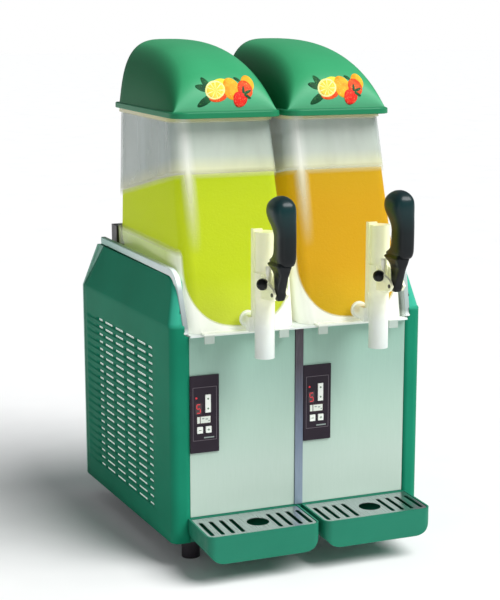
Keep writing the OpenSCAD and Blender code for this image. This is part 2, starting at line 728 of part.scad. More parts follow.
// One cross-section of the dome, at a share u of the way from its rear to its front
function lid_arch(u, shrink) =
    let (y = dome_rear - shrink - (dome_rear - dome_front - 2 * shrink) * u,
         h = (lid_h - lip_h - shrink) * crown(u),
         w = lid_half_w - 2.5 - shrink - 2 * pow(u, 6),
         n = 9)
    [for (i = [0 : 2 * n])
        let (a = 90 * i / n,
             v = pow(abs(sin(a)), arch_power),
             side = a <= 90 ? 1 : -1)
        [side * (w - 14 * v) * pow(abs(cos(a)), arch_power), y, bowl_top + lip_h + h * v]];
// The arches run from the rear to the front
module lid_dome(shrink) {
    loft([for (k = [0 : lid_steps]) lid_arch(0.985 * k / lid_steps, shrink)]);
}
module lid_plate(half, front, rear, z0, z1, r) {
    loft([for (z = [z0, z1])
        lift(concat(arc(-half + r, front + r, r, 180, 270, 8), arc(half - r, front + r, r, 270, 360, 8),
                    arc(half - 8, rear - 8, 8, 0, 90, 3), arc(-half + 8, rear - 8, 8, 90, 180, 3)), z)]);
}
module lid(x) {
    color(lid_green) placed() translate([x, 0, 0]) difference() {
        union() {
            lid_plate(lid_half_w, lid_front, lid_rear, bowl_top + 0.3, bowl_top + lip_h, 24);
            translate([0, 0, -0.5]) lid_dome(0);
        }
        translate([0, 0, -1]) lid_dome(3);
        lid_plate(lid_half_w - 12, dome_front + 8, dome_rear - 6, bowl_top - 1, bowl_top + lip_h + 3, 20);
    }
}
module left_lid() { lid(left_x); }
module right_lid() { lid(right_x); }

// ---- Taps ----
tap_bore = 12;
pivot_reach = 134;
pivot_z = 465;
piston_z0 = outlet_z - 17;
piston_z1 = 500;
spring_z1 = 545;
ball_r = 7.6;
ball_reach = 33.3;
ball_turn = 26;
ball_z = 477;
module tap_place(x) { placed() translate([x + tap_dx, -tap_reach, 0]) children(); }
module tap_body(x) {
    neck = tap_reach - 2;
    ear_reach = pivot_reach - tap_reach;
    color([0.93, 0.92, 0.84]) tap_place(x) difference() {
        union() {
            translate([0, 0, nozzle_z]) cylinder(r = tap_r, h = tap_top - nozzle_z, $fn = 64);
            translate([0, 0, 446]) cylinder(r = tap_r + 2, h = 44, $fn = 64);
            translate([0, 0, outlet_z]) along_y() cylinder(r = 12, h = neck);
            translate([0, neck - 4, outlet_z]) along_y() cylinder(r = 14, h = 4);
            // Stiffening web between the column and the neck, and the boss on its left
            box([-16.5, 6, outlet_z], [-13.5, 16, tap_top + 3]);
            box([-16.5, 10, outlet_z + 6], [0, 14, tap_top + 3]);
            box([-21.5, 10, outlet_z - 7], [-10, 24, outlet_z + 16]);
            for (side = [-1, 1])
                side_slab_at(side * 10.2, 4, [[-4, 450], [-ear_reach, 457], [-ear_reach - 7, pivot_z],
                                              [-ear_reach, 473], [-4, 492]]);
        }
        translate([0, 0, nozzle_z - 1]) cylinder(r = tap_bore, h = spring_z1 - nozzle_z + 1, $fn = 64);
        translate([0, 0, outlet_z]) along_y() cylinder(r = 9, h = neck + 1);
        box([-4.8, -30, 458], [4.8, 0, 501]);
        translate([-30, -ear_reach, pivot_z]) along_x() cylinder(r = 3.05, h = 60, $fn = 32);
        rotate([0, 0, -ball_turn]) translate([0, -ball_reach, ball_z]) sphere(r = ball_r + 0.1);
    }
}
module side_slab_at(x, width, points) { translate([x, 0, 0]) side_slab(width, points); }
module left_tap_body() { tap_body(left_x); }
module right_tap_body() { tap_body(right_x); }
module tap_pins(x) {
    ear_reach = pivot_reach - tap_reach;
    color(dark_plastic) tap_place(x) {
        translate([-13.5, -ear_reach, pivot_z]) along_x() cylinder(r = 2.98, h = 27, $fn = 32);
        // Ball seated in the left ear
        rotate([0, 0, -ball_turn]) translate([0, -ball_reach, ball_z]) sphere(r = ball_r);
    }
}
module left_tap_pins() { tap_pins(left_x); }
module right_tap_pins() { tap_pins(right_x); }
module tap_spring(x) {
    turns = 7;
    wire = 0.9;
    coil_r = 8.5;
    per_turn = 14;
    steps = turns * per_turn;
    z0 = piston_z1 + wire + 0.1;
    z1 = spring_z1 - wire - 0.1;
    rings = [for (k = [0 : steps])
        let (a = 360 * k / per_turn, z = z0 + (z1 - z0) * k / steps)
        [for (i = [0 : 5])
            let (b = -60 * i, r = coil_r + wire * cos(b))
            [r * cos(a), r * sin(a), z + wire * sin(b)]]];
    color(steel) tap_place(x) loft(rings);
}
module left_tap_spring() { tap_spring(left_x); }
module right_tap_spring() { tap_spring(right_x); }
seal_offsets = [5, 34];
module piston(x) {
    color([0.90, 0.90, 0.88]) tap_place(x) difference() {
        translate([0, 0, piston_z0]) cylinder(r = tap_bore - 0.5, h = piston_z1 - piston_z0, $fn = 64);
        box([-6, -20, pivot_z - 8], [6, 3, pivot_z + 8]);
        for (dz = seal_offsets) translate([0, 0, piston_z0 + dz]) difference() {
            translate([0, 0, -1.5]) cylinder(r = 20, h = 3);
            translate([0, 0, -2]) cylinder(r = tap_bore - 2.4, h = 4);
        }
    }
}
module left_piston() { piston(left_x); }
module right_piston() { piston(right_x); }
module piston_seals(x) {
    color(rubber_black) tap_place(x)
        for (dz = seal_offsets) translate([0, 0, piston_z0 + dz])
            rotate_extrude($fn = 64) translate([tap_bore - 1.2, 0]) circle(r = 1.1, $fn = 24);
}
module left_piston_seals() { piston_seals(left_x); }
module right_piston_seals() { piston_seals(right_x); }

// Side outline of a handle, as [y, z] from its pivot
function handle_side(front, top) = concat(
    [[-5, -9], [5, -9], [7, 4], [9, 22], [24, 40], [22, 46], [12, 44], [10, 62], [9, 96]],
    arc(3, top - 21, 21, -10, 90, 8),
    arc(front + 19, top - 19, 19, 100, 180, 6),
    [[front, 44], [front + 6, 36], [front + 10, 14], [-7, 4]]);
handle_dx = 2;
handle_half = 15;
module handle(x) {
    front = pivot_reach - handle_reach;
    top = handle_top - pivot_z;
    color(handle_black) tap_place(x) translate([0, tap_reach - pivot_reach, pivot_z]) difference() {
        union() {
            // Grip: side outline cut to the paddle's front outline
            intersection() {
                side_slab_at(handle_dx, 60, handle_side(front, top));
                front_slab(-80, 80, concat(
                    [[handle_dx - handle_half, 38], [handle_dx + handle_half, 38]],
                    arc(handle_dx, top - handle_half, handle_half, 0, 180, 16)));
            }
            // Lug between the ears
            intersection() {
                side_slab(13.6, handle_side(front, top));
                box([-7, -60, -12], [7, 60, 42]);
            }
            // Finger that lifts the piston
            box([-3.5, 0, -3], [3.5, 55, 3]);
        }
        translate([-30, 0, 0]) along_x() cylinder(r = 3.05, h = 60, $fn = 32);
    }
}
module left_handle() { handle(left_x); }
module right_handle() { handle(right_x); }

// ---- Drip trays ----
tray_places = [-98, 99.5];
hook_places = [for (x = tray_places, dx = [-50, 50]) x + dx];
function tray_outline(half, z0, z1, r) =
    concat([[half, z1], [-half, z1]], arc(-half + r, z0 + r, r, 180, 270, 8),
           arc(half - r, z0 + r, r, 270, 360, 8));
// Upright prism with the tray's plan outline, whose front corners are rounded
module tray_plan(half, front, rear, r, h = 200) {
    linear_extrude(h)
        polygon(concat(arc(-half + r, front + r, r, 180, 270, 8), arc(half - r, front + r, r, 270, 360, 8),
                       [[half, rear], [-half, rear]]));
}
module drip_tray(x) {
    half = tray_w / 2;
    color(shell_green) placed() translate([x, 0, 0]) {
        difference() {
            intersection() {
                front_slab(-tray_reach, -0.5, tray_outline(half, tray_z0, tray_z1, 28));
                tray_plan(half, -tray_reach, 0, 14);
            }
            intersection() {
                front_slab(-tray_reach + 3, -3.5, tray_outline(half - 3, tray_z0 + 3, tray_z1 + 1, 25));
                tray_plan(half - 3, -tray_reach + 3, 0, 11);
            }
        }
        // Ledge that the grate rests on
        difference() {
            translate([0, 0, tray_z1 - 6]) tray_plan(half - 2, -tray_reach + 2, -2, 12, 3.4);
            tray_plan(half - 7, -tray_reach + 7, -7.5, 7);
        }
        for (dx = [-50, 50]) {
            box([dx - 9, -1, 61], [dx + 9, 10, 64]);
        }
    }
}
module left_drip_tray() { drip_tray(tray_places[0]); }
module right_drip_tray() { drip_tray(tray_places[1]); }
module grate(x) {
    half = tray_w / 2 - 3.6;
    color(steel) placed() translate([x, 0, tray_z1 - 2.5]) difference() {
        tray_plan(half, -tray_reach + 3.6, -4.1, 10.4, 1.6);
        for (side = [-1, 1], k = [0 : 3]) {
            slot_x = side * (32 + 17 * k);
            hull_slot(slot_x, -26, -81, 3.4);
        }
        translate([tap_dx, -50, -1]) cylinder(r = 18, h = 5);
    }
}
module hull_slot(x, y0, y1, r) {
    for (y = [y0, y1]) translate([x, y, -1]) cylinder(r = r, h = 5, $fn = 24);
    box([x - r, y1, -1], [x + r, y0, 4]);
}
module left_grate() { grate(tray_places[0]); }
module right_grate() { grate(tray_places[1]); }

// ---- Controls ----
bezel_w = 48;
bezel_h = 126;
bezel_z0 = 191;
bezel_t = 2.5;
bezel_places = [-188.5, 6];
rocker_place = [29.3, 80, 9, 29];
power_place = [15.6, 37.5, 9.6, 10.8];
mode_place = [30.1, 37.5, 9.6, 10.8];
key_gap = 0.35;
// A key's outline from its centre [x, z] and size [w, h] on the bezel, from y0 to y1
module key_block(p, grow, y0, y1) {
    half = [p[2] / 2 + grow, p[3] / 2 + grow];
    box([p[0] - half[0], y0, p[1] - half[1]], [p[0] + half[0], y1, p[1] + half[1]]);
}
// Axle that the rocker tilts on, in sockets behind the bezel
rocker_axle_y = 1;
module rocker_axle(half, r) {
    translate([rocker_place[0] - half, rocker_axle_y, rocker_place[1]]) along_x() cylinder(r = r, h = 2 * half);
}
module control_bezels() {
    color(dark_plastic) placed()
        for (x = bezel_places) translate([x, 0, bezel_z0]) difference() {
            union() {
                box([0, -bezel_t, 0], [bezel_w, 0.4, bezel_h]);
                box([4.5, 0, 8.5], [bezel_w - 4.5, 3, bezel_h - 8.5]);
            }
            for (p = [rocker_place, power_place, mode_place]) key_block(p, key_gap, -10, 10);
            key_block(rocker_place, 1.4, -0.5, 10);
            rocker_axle(7, 1.25);
            key_block([13.5, 72.5, 10, 18], 0, -10, -1);
            key_block([22.2, 54, 24, 13], 0, -10, -1);
        }
}
module display_windows() {
    color([0.45, 0.06, 0.06]) placed()
        for (x = bezel_places) translate([x, 0, bezel_z0]) {
            key_block([13.5, 72.5, 10, 18], 0, -bezel_t - 0.3, -1);
            key_block([22.2, 54, 24, 13], 0, -bezel_t - 0.3, -1);
        }
}
module square_key(x, p) {
    color([0.94, 0.95, 0.93]) placed() translate([x, 0, bezel_z0]) key_block(p, 0, -bezel_t - 1.5, 4);
}
module rocker_key(x) {
    color([0.94, 0.95, 0.93]) placed() translate([x, 0, bezel_z0]) {
        key_block(rocker_place, 0, -bezel_t - 1.3, 0.6);
        rocker_axle(6.7, 1.2);
    }
}
module left_rocker_key() { rocker_key(bezel_places[0]); }
module right_rocker_key() { rocker_key(bezel_places[1]); }
module left_power_key() { square_key(bezel_places[0], power_place); }
module right_power_key() { square_key(bezel_places[1], power_place); }
module left_mode_key() { square_key(bezel_places[0], mode_place); }
module right_mode_key() { square_key(bezel_places[1], mode_place); }

gland_x = 150;
gland_z = 90;
module cable_gland() {
    color(rubber_black) placed() translate([gland_x, body_d - 14, gland_z]) along_y() difference() {
        union() {
            cylinder(r = 10, h = 14, $fn = 48);
            cylinder(r = 14, h = 8, $fn = 6);
        }
        translate([0, 0, -1]) cylinder(r = 4.4, h = 30, $fn = 48);
    }
}

chassis();
feet();
foot_bolts();
front_rail();
left_side_shell();
right_side_shell();
left_front_panel();
right_front_panel();
centre_trim();
rear_panel();
top_deck();
cabinet_screws();
compressor();
compressor_grommets();
condenser();
air_filters();
fan_shroud();
fan_motor();
fan_blade();
refrigerant_pipes();
control_box();
motor_housing();
gear_motors();
evaporators();
bowl_gaskets();
control_bezels();
display_windows();
cable_gland();
left_auger();
right_auger();
left_drive_shaft();
right_drive_shaft();
left_bowl();
right_bowl();
left_slush();
right_slush();
left_lid();
right_lid();
left_tap_body();
right_tap_body();
left_tap_pins();
right_tap_pins();
left_tap_spring();
right_tap_spring();
left_piston();
right_piston();
left_piston_seals();
right_piston_seals();
left_handle();
right_handle();
left_drip_tray();
right_drip_tray();
left_grate();
right_grate();
left_rocker_key();
right_rocker_key();
left_power_key();
right_power_key();
left_mode_key();
right_mode_key();
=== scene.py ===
"""Looks of the twin-bowl slush machine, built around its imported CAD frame.

Shapes are given in millimetres in cabinet coordinates: x to the right, y to the back from the front
panels' face, z up from the ground. at() turns them into the frame's metres. Materials work in metres.
"""

import json
import math

import bmesh
import bpy
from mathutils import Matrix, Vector
from mathutils.bvhtree import BVHTree


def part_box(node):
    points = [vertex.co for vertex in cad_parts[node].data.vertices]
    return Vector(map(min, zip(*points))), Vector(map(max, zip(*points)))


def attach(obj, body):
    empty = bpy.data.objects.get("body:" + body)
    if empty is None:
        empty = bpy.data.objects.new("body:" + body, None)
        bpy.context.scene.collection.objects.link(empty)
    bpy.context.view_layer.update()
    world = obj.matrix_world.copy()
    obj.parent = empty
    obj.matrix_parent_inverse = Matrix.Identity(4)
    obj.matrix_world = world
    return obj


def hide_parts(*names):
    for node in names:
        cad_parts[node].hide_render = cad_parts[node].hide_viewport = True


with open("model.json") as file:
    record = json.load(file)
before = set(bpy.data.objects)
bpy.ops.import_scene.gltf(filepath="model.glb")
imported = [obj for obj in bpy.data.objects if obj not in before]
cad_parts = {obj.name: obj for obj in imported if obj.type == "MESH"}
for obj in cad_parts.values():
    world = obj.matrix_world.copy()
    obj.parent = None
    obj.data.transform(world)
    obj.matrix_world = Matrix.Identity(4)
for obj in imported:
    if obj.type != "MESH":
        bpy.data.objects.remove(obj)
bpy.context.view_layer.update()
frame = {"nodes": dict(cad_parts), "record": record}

MM = 0.001
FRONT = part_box("centre_trim")[0].y + 1.5 * MM
SIDES = (("left", -1), ("right", 1))
BOWL_X = {"left": -97, "right": 97}

# Cabinet sizes, which repeat the CAD part's
BODY_D = 413
FOOT_H = 42
PANEL_HALF = 189
PANEL_TOP = 380
DECK_Z = 383
CREASE_Z = 396
SHOULDER_Z = 468
TOP_Z = 480
STRIP_W = 6.5
FRONT_LEAN = 0.30
LEAN = math.atan(FRONT_LEAN)
FILLET = 36
FILLET_RUN = FILLET * math.tan((math.pi / 2 - LEAN) / 2)
AXIS_Z = 480
LID_Z = 713


def at(x, y, z):
    """A point of the frame, from cabinet millimetres."""
    return Vector((x * MM, FRONT + y * MM, z * MM))


# ---- Meshes ----


class Shape:
    """Vertices and faces gathered ring by ring, in the frame's metres."""

    def __init__(self):
        self.points = []
        self.faces = []

    def row(self, points):
        """Adds points and gives their numbers."""
        first = len(self.points)
        self.points += [tuple(p) for p in points]
        return list(range(first, len(self.points)))

    def bridge(self, a, b, closed=True, skip=()):
        """Faces between two rows of the same length, except at the columns to skip."""
        count = len(a) if closed else len(a) - 1
        for i in range(count):
            if i not in skip:
                j = (i + 1) % len(a)
                self.faces.append((a[i], a[j], b[j], b[i]))

    def cap(self, ring):
        self.faces.append(tuple(ring))

    def loft(self, rings, closed=True):
        """Joins rings of points one to the next and caps both ends."""
        rows = [self.row(ring) for ring in rings]
        for a, b in zip(rows, rows[1:]):
            self.bridge(a, b, closed)
        self.cap(rows[0][::-1])
        self.cap(rows[-1])

    def block(self, low, high):
        """A box between two corners in cabinet millimetres."""
        (x0, y0, z0), (x1, y1, z1) = low, high
        rings = [[at(x, y, z) for x, y in ((x0, y0), (x1, y0), (x1, y1), (x0, y1))] for z in (z0, z1)]
        self.loft(rings)


def spline(p, q, r, s, t):
    """Catmull-Rom value at t between q and r."""
    return 0.5 * (2 * q + (r - p) * t + (2 * p - 5 * q + 4 * r - s) * t * t
                  + (3 * q - p - 3 * r + s) * t ** 3)


def curve_through(rows, steps):
    """Catmull-Rom rows between control rows, each a tuple of numbers."""
    out = []
    for i in range(len(rows) - 1):
        a, b, c, d = rows[max(i - 1, 0)], rows[i], rows[i + 1], rows[min(i + 2, len(rows) - 1)]
        for k in range(steps):
            out.append(tuple(spline(p, q, r, s, k / steps) for p, q, r, s in zip(a, b, c, d)))
    return out + [rows[-1]]


def turns(steps):
    """Angles once round a circle."""
    return [2 * math.pi * i / steps for i in range(steps)]


def arc(cx, cy, r, start, end, steps):
    angles = [math.radians(start + (end - start) * i / steps) for i in range(steps + 1)]
    return [(cx + r * math.cos(a), cy + r * math.sin(a)) for a in angles]


def orient(mesh):
    """Turns every face outwards and joins doubled points."""
    work = bmesh.new()
    work.from_mesh(mesh)
    bmesh.ops.remove_doubles(work, verts=work.verts, dist=1e-6)
    bmesh.ops.recalc_face_normals(work, faces=work.faces)
    work.to_mesh(mesh)
    work.free()


def smooth(mesh, angle):
    """Shades a mesh smooth, with sharp edges beyond an angle."""
    for polygon in mesh.polygons:
        polygon.use_smooth = True
    mesh.set_sharp_from_angle(angle=math.radians(angle))


def add_bevel(obj, width, angle=35):
    bevel = obj.modifiers.new("edge", "BEVEL")
    bevel.width = width * MM
    bevel.segments = 2
    bevel.limit_method = "ANGLE"
    bevel.angle_limit = math.radians(angle)
    bevel.harden_normals = True


def piece(name, shape, material, body, replaces=(), bevel=0, angle=35, solid=0):
    """Makes an object of a shape, rides it on its body and hides the CAD nodes it stands for."""
    mesh = bpy.data.meshes.new(name)
    mesh.from_pydata(shape.points, [], shape.faces)
    mesh.validate()
    obj = bpy.data.objects.new(name, mesh)
    bpy.context.collection.objects.link(obj)
    orient(mesh)
    smooth(mesh, angle)
    mesh.materials.append(material)
    if solid:
        thick = obj.modifiers.new("wall", "SOLIDIFY")
        thick.thickness = solid * MM
        thick.offset = -1
    if bevel:
        add_bevel(obj, bevel, angle=angle)
    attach(obj, body)
    if replaces:
        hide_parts(*replaces)
    return obj


# ---- Materials ----

# Heights and other sizes that the finishes follow, in metres
PANEL_RANGE = (0.084, PANEL_TOP * MM)
DRINK_RANGE = (0.400, 0.630)
TAP_RANGE = (0.350, 0.552)
HANDLE_RANGE = (0.505, 0.617)
DRINK_FRONT_Z = 0.626
DRINK_BACK_Z = 0.566
TROUGH_R = 0.091
TROUGH_POWER = 2.4


class Finish:
    """A node material with one Principled shader, built up by short calls."""

    def __init__(self, name, roughness, metallic=0.0, coat=0.0, specular=0.5):
        self.material = bpy.data.materials.new(name)
        self.material.use_nodes = True
        self.tree = self.material.node_tree
        self.shader = self.tree.nodes["Principled BSDF"]
        self.output = self.tree.nodes["Material Output"]
        self.shader.inputs["Roughness"].default_value = roughness
        self.shader.inputs["Metallic"].default_value = metallic
        self.shader.inputs["Coat Weight"].default_value = coat
        self.shader.inputs["Coat Roughness"].default_value = 0.15
        self.shader.inputs["Specular IOR Level"].default_value = specular
        self.place = self.add("ShaderNodeTexCoord").outputs["Object"]

    def add(self, kind, **settings):
        node = self.tree.nodes.new(kind)
        for key, value in settings.items():
            setattr(node, key, value)
        return node

    def feed(self, socket, value):
        if isinstance(value, (int, float, tuple)):
            socket.default_value = value
        else:
            self.tree.links.new(value, socket)

    def maths(self, operation, a, b=0.0):
        node = self.add("ShaderNodeMath", operation=operation)
        self.feed(node.inputs[0], a)
        self.feed(node.inputs[1], b)
        return node.outputs[0]

    def times(self, a, b):
        return self.maths("MULTIPLY", a, b)

    def greater(self, a, b):
        return self.maths("MAXIMUM", a, b)

    def minus(self, a, b):
        return self.maths("SUBTRACT", a, b)

    def size(self, a):
        return self.maths("ABSOLUTE", a)

    def noise(self, scale, detail, stretch=None):
        place = self.place
        if stretch:
            mapping = self.add("ShaderNodeMapping")
            self.feed(mapping.inputs["Vector"], place)
            mapping.inputs["Scale"].default_value = stretch
            place = mapping.outputs[0]
        node = self.add("ShaderNodeTexNoise")
        self.feed(node.inputs["Vector"], place)
        node.inputs["Scale"].default_value = scale
        node.inputs["Detail"].default_value = detail
        node.inputs["Roughness"].default_value = 0.55
        return node.outputs["Fac"]

    def ramp(self, value, stops):
        node = self.add("ShaderNodeValToRGB")
        self.feed(node.inputs["Fac"], value)
        elements = node.color_ramp.elements
        while len(elements) < len(stops):
            elements.new(0.5)
        for element, (position, color) in zip(elements, stops):
            element.position = position
            element.color = (*color, 1.0)
        return node.outputs["Color"]

    def scaled(self, value, low, high, to_low=0.0, to_high=1.0):
        node = self.add("ShaderNodeMapRange", clamp=True)
        self.feed(node.inputs["Value"], value)
        for name, number in (("From Min", low), ("From Max", high), ("To Min", to_low), ("To Max", to_high)):
            node.inputs[name].default_value = number
        return node.outputs["Result"]

    def fades(self, value, low, high):
        """1 below low, 0 above high."""
        return self.scaled(value, low, high, 1.0, 0.0)

    def mix(self, factor, a, b, blend="MIX"):
        node = self.add("ShaderNodeMix", data_type="RGBA", blend_type=blend)
        self.feed(node.inputs["Factor"], factor)
        self.feed(node.inputs["A"], a if not isinstance(a, tuple) else (*a, 1.0))
        self.feed(node.inputs["B"], b if not isinstance(b, tuple) else (*b, 1.0))
        return node.outputs["Result"]

    def axes(self):
        node = self.add("ShaderNodeSeparateXYZ")
        self.feed(node.inputs[0], self.place)
        return node.outputs

    def facing(self):
        """The three parts of the surface's own direction."""
        node = self.add("ShaderNodeSeparateXYZ")
        self.feed(node.inputs[0], self.add("ShaderNodeNewGeometry").outputs["Normal"])
        return node.outputs

    def color(self, value):
        self.feed(self.shader.inputs["Base Color"], value)

    def glow(self, color, strength):
        self.feed(self.shader.inputs["Emission Color"], color)
        self.feed(self.shader.inputs["Emission Strength"], strength)

    def roughness(self, value):
        self.feed(self.shader.inputs["Roughness"], value)

    def bump(self, height, distance, strength=1.0):
        node = self.add("ShaderNodeBump")
        self.feed(node.inputs["Height"], height)
        node.inputs["Distance"].default_value = distance * MM
        node.inputs["Strength"].default_value = strength
        self.feed(self.shader.inputs["Normal"], node.outputs["Normal"])


def shade(color, factor):
    return tuple(min(1.0, c * factor) for c in color)


def moulded(name, color, rough, vary, grain, coat=0.0, specular=0.5):
    """Moulded plastic: faint cloudiness in its colour and a fine grain."""
    finish = Finish(name, rough, coat=coat, specular=specular)
    cloud = finish.noise(9, 4)
    finish.color(finish.ramp(cloud, [(0.30, shade(color, 1 - vary)), (0.70, shade(color, 1 + vary))]))
    finish.roughness(finish.scaled(finish.noise(60, 4), 0.3, 0.7, rough * 0.85, min(1, rough * 1.2)))
    finish.bump(finish.noise(900, 2), grain)
    return finish


def brushed(name, color, rough, direction=(1, 60, 60)):
    """Metal with brushing lines, long where the direction's number is small."""
    finish = Finish(name, rough, 1.0)
    lines = finish.noise(14, 5, direction)
    finish.color(finish.ramp(lines, [(0.25, shade(color, 0.88)), (0.75, shade(color, 1.12))]))
    finish.roughness(finish.scaled(lines, 0.3, 0.7, rough * 0.8, rough * 1.25))
    finish.bump(lines, 0.02, 0.5)
    return finish


def shell_green():
    """The cabinet's green, with a painted highlight: paler on the front slope above the crease, where the
    light falls.
    """
    finish = Finish("shell_green", 0.5, specular=0.06)
    cloud = finish.noise(9, 4)
    side = finish.ramp(cloud, [(0.30, (0.008, 0.205, 0.115)), (0.70, (0.010, 0.235, 0.134))])
    # Painted highlight: the front-facing slope above the crease is painted paler where the light falls on it.
    painted_highlight_facing = finish.fades(finish.facing()[1], -0.62, -0.14)
    above = finish.scaled(finish.axes()[2], (CREASE_Z - 3) * MM, (CREASE_Z + 4) * MM)
    finish.color(finish.mix(finish.times(painted_highlight_facing, above), side, (0.045, 0.430, 0.290)))
    finish.bump(finish.noise(900, 2), 0.02)
    return finish


def lid_green():
    """Mid green with painted light and shade: painted shade on the lids' steep sides and lip, and a painted
    highlight low on the dome's front.
    """
    finish = Finish("lid_green", 0.42, specular=0.22)
    cloud = finish.noise(9, 4)
    top = finish.ramp(cloud, [(0.30, (0.036, 0.345, 0.142)), (0.70, (0.042, 0.375, 0.158))])
    height = finish.axes()[2]
    # Painted shade: the steep sides and the lip are painted a deeper green.
    painted_shade_steep = finish.scaled(finish.size(finish.facing()[0]), 0.45, 0.92)
    lip = finish.fades(height, (LID_Z + 9.5) * MM, (LID_Z + 11.5) * MM)
    # Painted highlight: the lower front of the dome is painted paler.
    low = finish.times(finish.scaled(height, (LID_Z + 11) * MM, (LID_Z + 62) * MM, 0.75, 0.0),
                       finish.fades(finish.facing()[1], -0.85, -0.40))
    top = finish.mix(low, top, (0.120, 0.440, 0.250))
    finish.color(finish.mix(lip, finish.mix(painted_shade_steep, top, (0.006, 0.150, 0.055)), (0.012, 0.210, 0.090)))
    finish.bump(finish.noise(900, 2), 0.01)
    return finish


def panel_finish():
    """Satin sheet whose tint pales towards the bottom, a painted reflection, with fine vertical brushing."""
    finish = Finish("panel", 0.42, coat=0.15, specular=0.4)
    # Painted reflection: the tint pales towards the bottom as the lower panel reflects the light.
    height = finish.scaled(finish.axes()[2], *PANEL_RANGE)
    tint = finish.ramp(height, [
        (0.00, (0.49, 0.62, 0.53)), (0.25, (0.47, 0.60, 0.52)), (0.50, (0.40, 0.56, 0.47)),
        (0.75, (0.32, 0.49, 0.41)), (1.00, (0.26, 0.45, 0.36))])
    lines = finish.noise(20, 4, (60, 60, 1.5))
    strokes = finish.ramp(lines, [(0.3, (0.46,) * 3), (0.7, (0.54,) * 3)])
    finish.color(finish.mix(0.35, tint, strokes, "OVERLAY"))
    finish.bump(lines, 0.015, 0.4)
    return finish


def trim_finish():
    """Anodised strip, dark at the top and bluish towards its foot."""
    finish = Finish("trim", 0.35, 0.3)
    height = finish.scaled(finish.axes()[2], *PANEL_RANGE)
    tint = finish.ramp(height, [
        (0.0, (0.30, 0.40, 0.50)), (0.4, (0.16, 0.21, 0.30)), (0.8, (0.05, 0.04, 0.06)),
        (1.0, (0.04, 0.03, 0.04))])
    lines = finish.noise(25, 4, (40, 40, 2))
    finish.color(finish.mix(0.15, tint, finish.ramp(lines, [(0.3, (0.03,) * 3), (0.7, (0.30,) * 3)])))
    finish.bump(lines, 0.01, 0.4)
    return finish


def deck_finish():
    """Pale moulding that turns from teal at the back to white, with painted shade: grey down its front slope.
    """
    finish = Finish("deck", 0.35, coat=0.2)
    _, y, z = finish.axes()
    back = finish.scaled(y, FRONT + 0.05, FRONT + 0.36)
    along = finish.ramp(back, [
        (0.0, (0.80, 0.90, 0.88)), (0.45, (0.66, 0.84, 0.78)), (1.0, (0.26, 0.54, 0.45))])
    # Painted shade: the front slope is painted grey where it lies in shadow.
    slope = finish.scaled(z, (DECK_Z + 2) * MM, (TOP_Z - 18) * MM)
    front = finish.ramp(slope, [
        (0.0, (0.86, 0.92, 0.90)), (0.12, (0.34, 0.40, 0.40)), (0.85, (0.46, 0.54, 0.54)),
        (1.0, (0.80, 0.90, 0.88))])
    behind = finish.scaled(y, FRONT + 0.026, FRONT + 0.040)
    tint = finish.mix(behind, front, along)
    stains = finish.scaled(finish.noise(40, 4), 0.3, 0.7, 0, 0.12)
    finish.color(finish.mix(stains, tint, (0.35, 0.45, 0.42)))
    finish.bump(finish.noise(500, 2), 0.02)
    return finish


def bowl_masks(finish, centre_x):
    """Where each part of a bowl lies, as factors from 0 to 1."""
    x, y, z = finish.axes()
    across = finish.size(finish.minus(x, centre_x * MM))
    down = finish.greater(finish.minus(AXIS_Z * MM, z), 0.0)
    # 1 on the outline of the bowl's rounded trough
    powers = [finish.maths("POWER", finish.maths("DIVIDE", length, TROUGH_R), TROUGH_POWER)
              for length in (across, down)]
    outside = finish.scaled(finish.maths("ADD", *powers), 0.90, 0.99)
    # Height above the drink, which slopes down towards the back
    surface = finish.scaled(y, FRONT + 0.07, FRONT + 0.37, DRINK_FRONT_Z, DRINK_BACK_Z)
    level = finish.minus(z, surface)
    # Soft upright highlight beside the front left corner
    beside = finish.size(finish.minus(x, (centre_x - 67) * MM))
    shine = finish.times(finish.fades(beside, 0.002, 0.014), finish.fades(y, FRONT + 0.10, FRONT + 0.13))
    return {
        "skirt": finish.times(outside, finish.fades(z, 0.500, 0.512)),
        "hooks": finish.fades(z, (DECK_Z - 1) * MM, (DECK_Z + 1) * MM),
        "mist": finish.scaled(level, -0.008, 0.008),
        "foam": finish.fades(level, 0.0, 0.030),
        # Painted light: the bowl's front is painted paler, more frosted and glowing.
        "painted_light_front": finish.fades(y, FRONT + 0.03, FRONT + 0.10),
        "rim": finish.scaled(z, (LID_Z - 9) * MM, (LID_Z - 5) * MM),
        "shine": finish.times(shine, finish.scaled(z, 0.50, 0.64, 0.0, 0.55)),
    }


def bowl_tint(finish, masks, tint):
    """The bowl's own colour where it isn't clear, with painted light: paler and whiter at the front, and a
    painted highlight beside the front left corner.
    """
    # Painted light: the skirt and the mist are painted paler at the front.
    skirt = finish.mix(masks["painted_light_front"], tint, (0.97, 1.0, 0.93))
    skirt = finish.mix(masks["hooks"], skirt, (0.36, 0.45, 0.42))
    mist = finish.mix(masks["painted_light_front"], (0.46, 0.55, 0.53), (0.74, 0.78, 0.60))
    mist = finish.mix(masks["foam"], mist, (0.74, 0.74, 0.42))
    mist = finish.mix(masks["rim"], mist, (0.80, 0.74, 0.38))
    return finish.mix(masks["shine"], finish.mix(masks["skirt"], mist, skirt), (0.98, 0.98, 0.96))


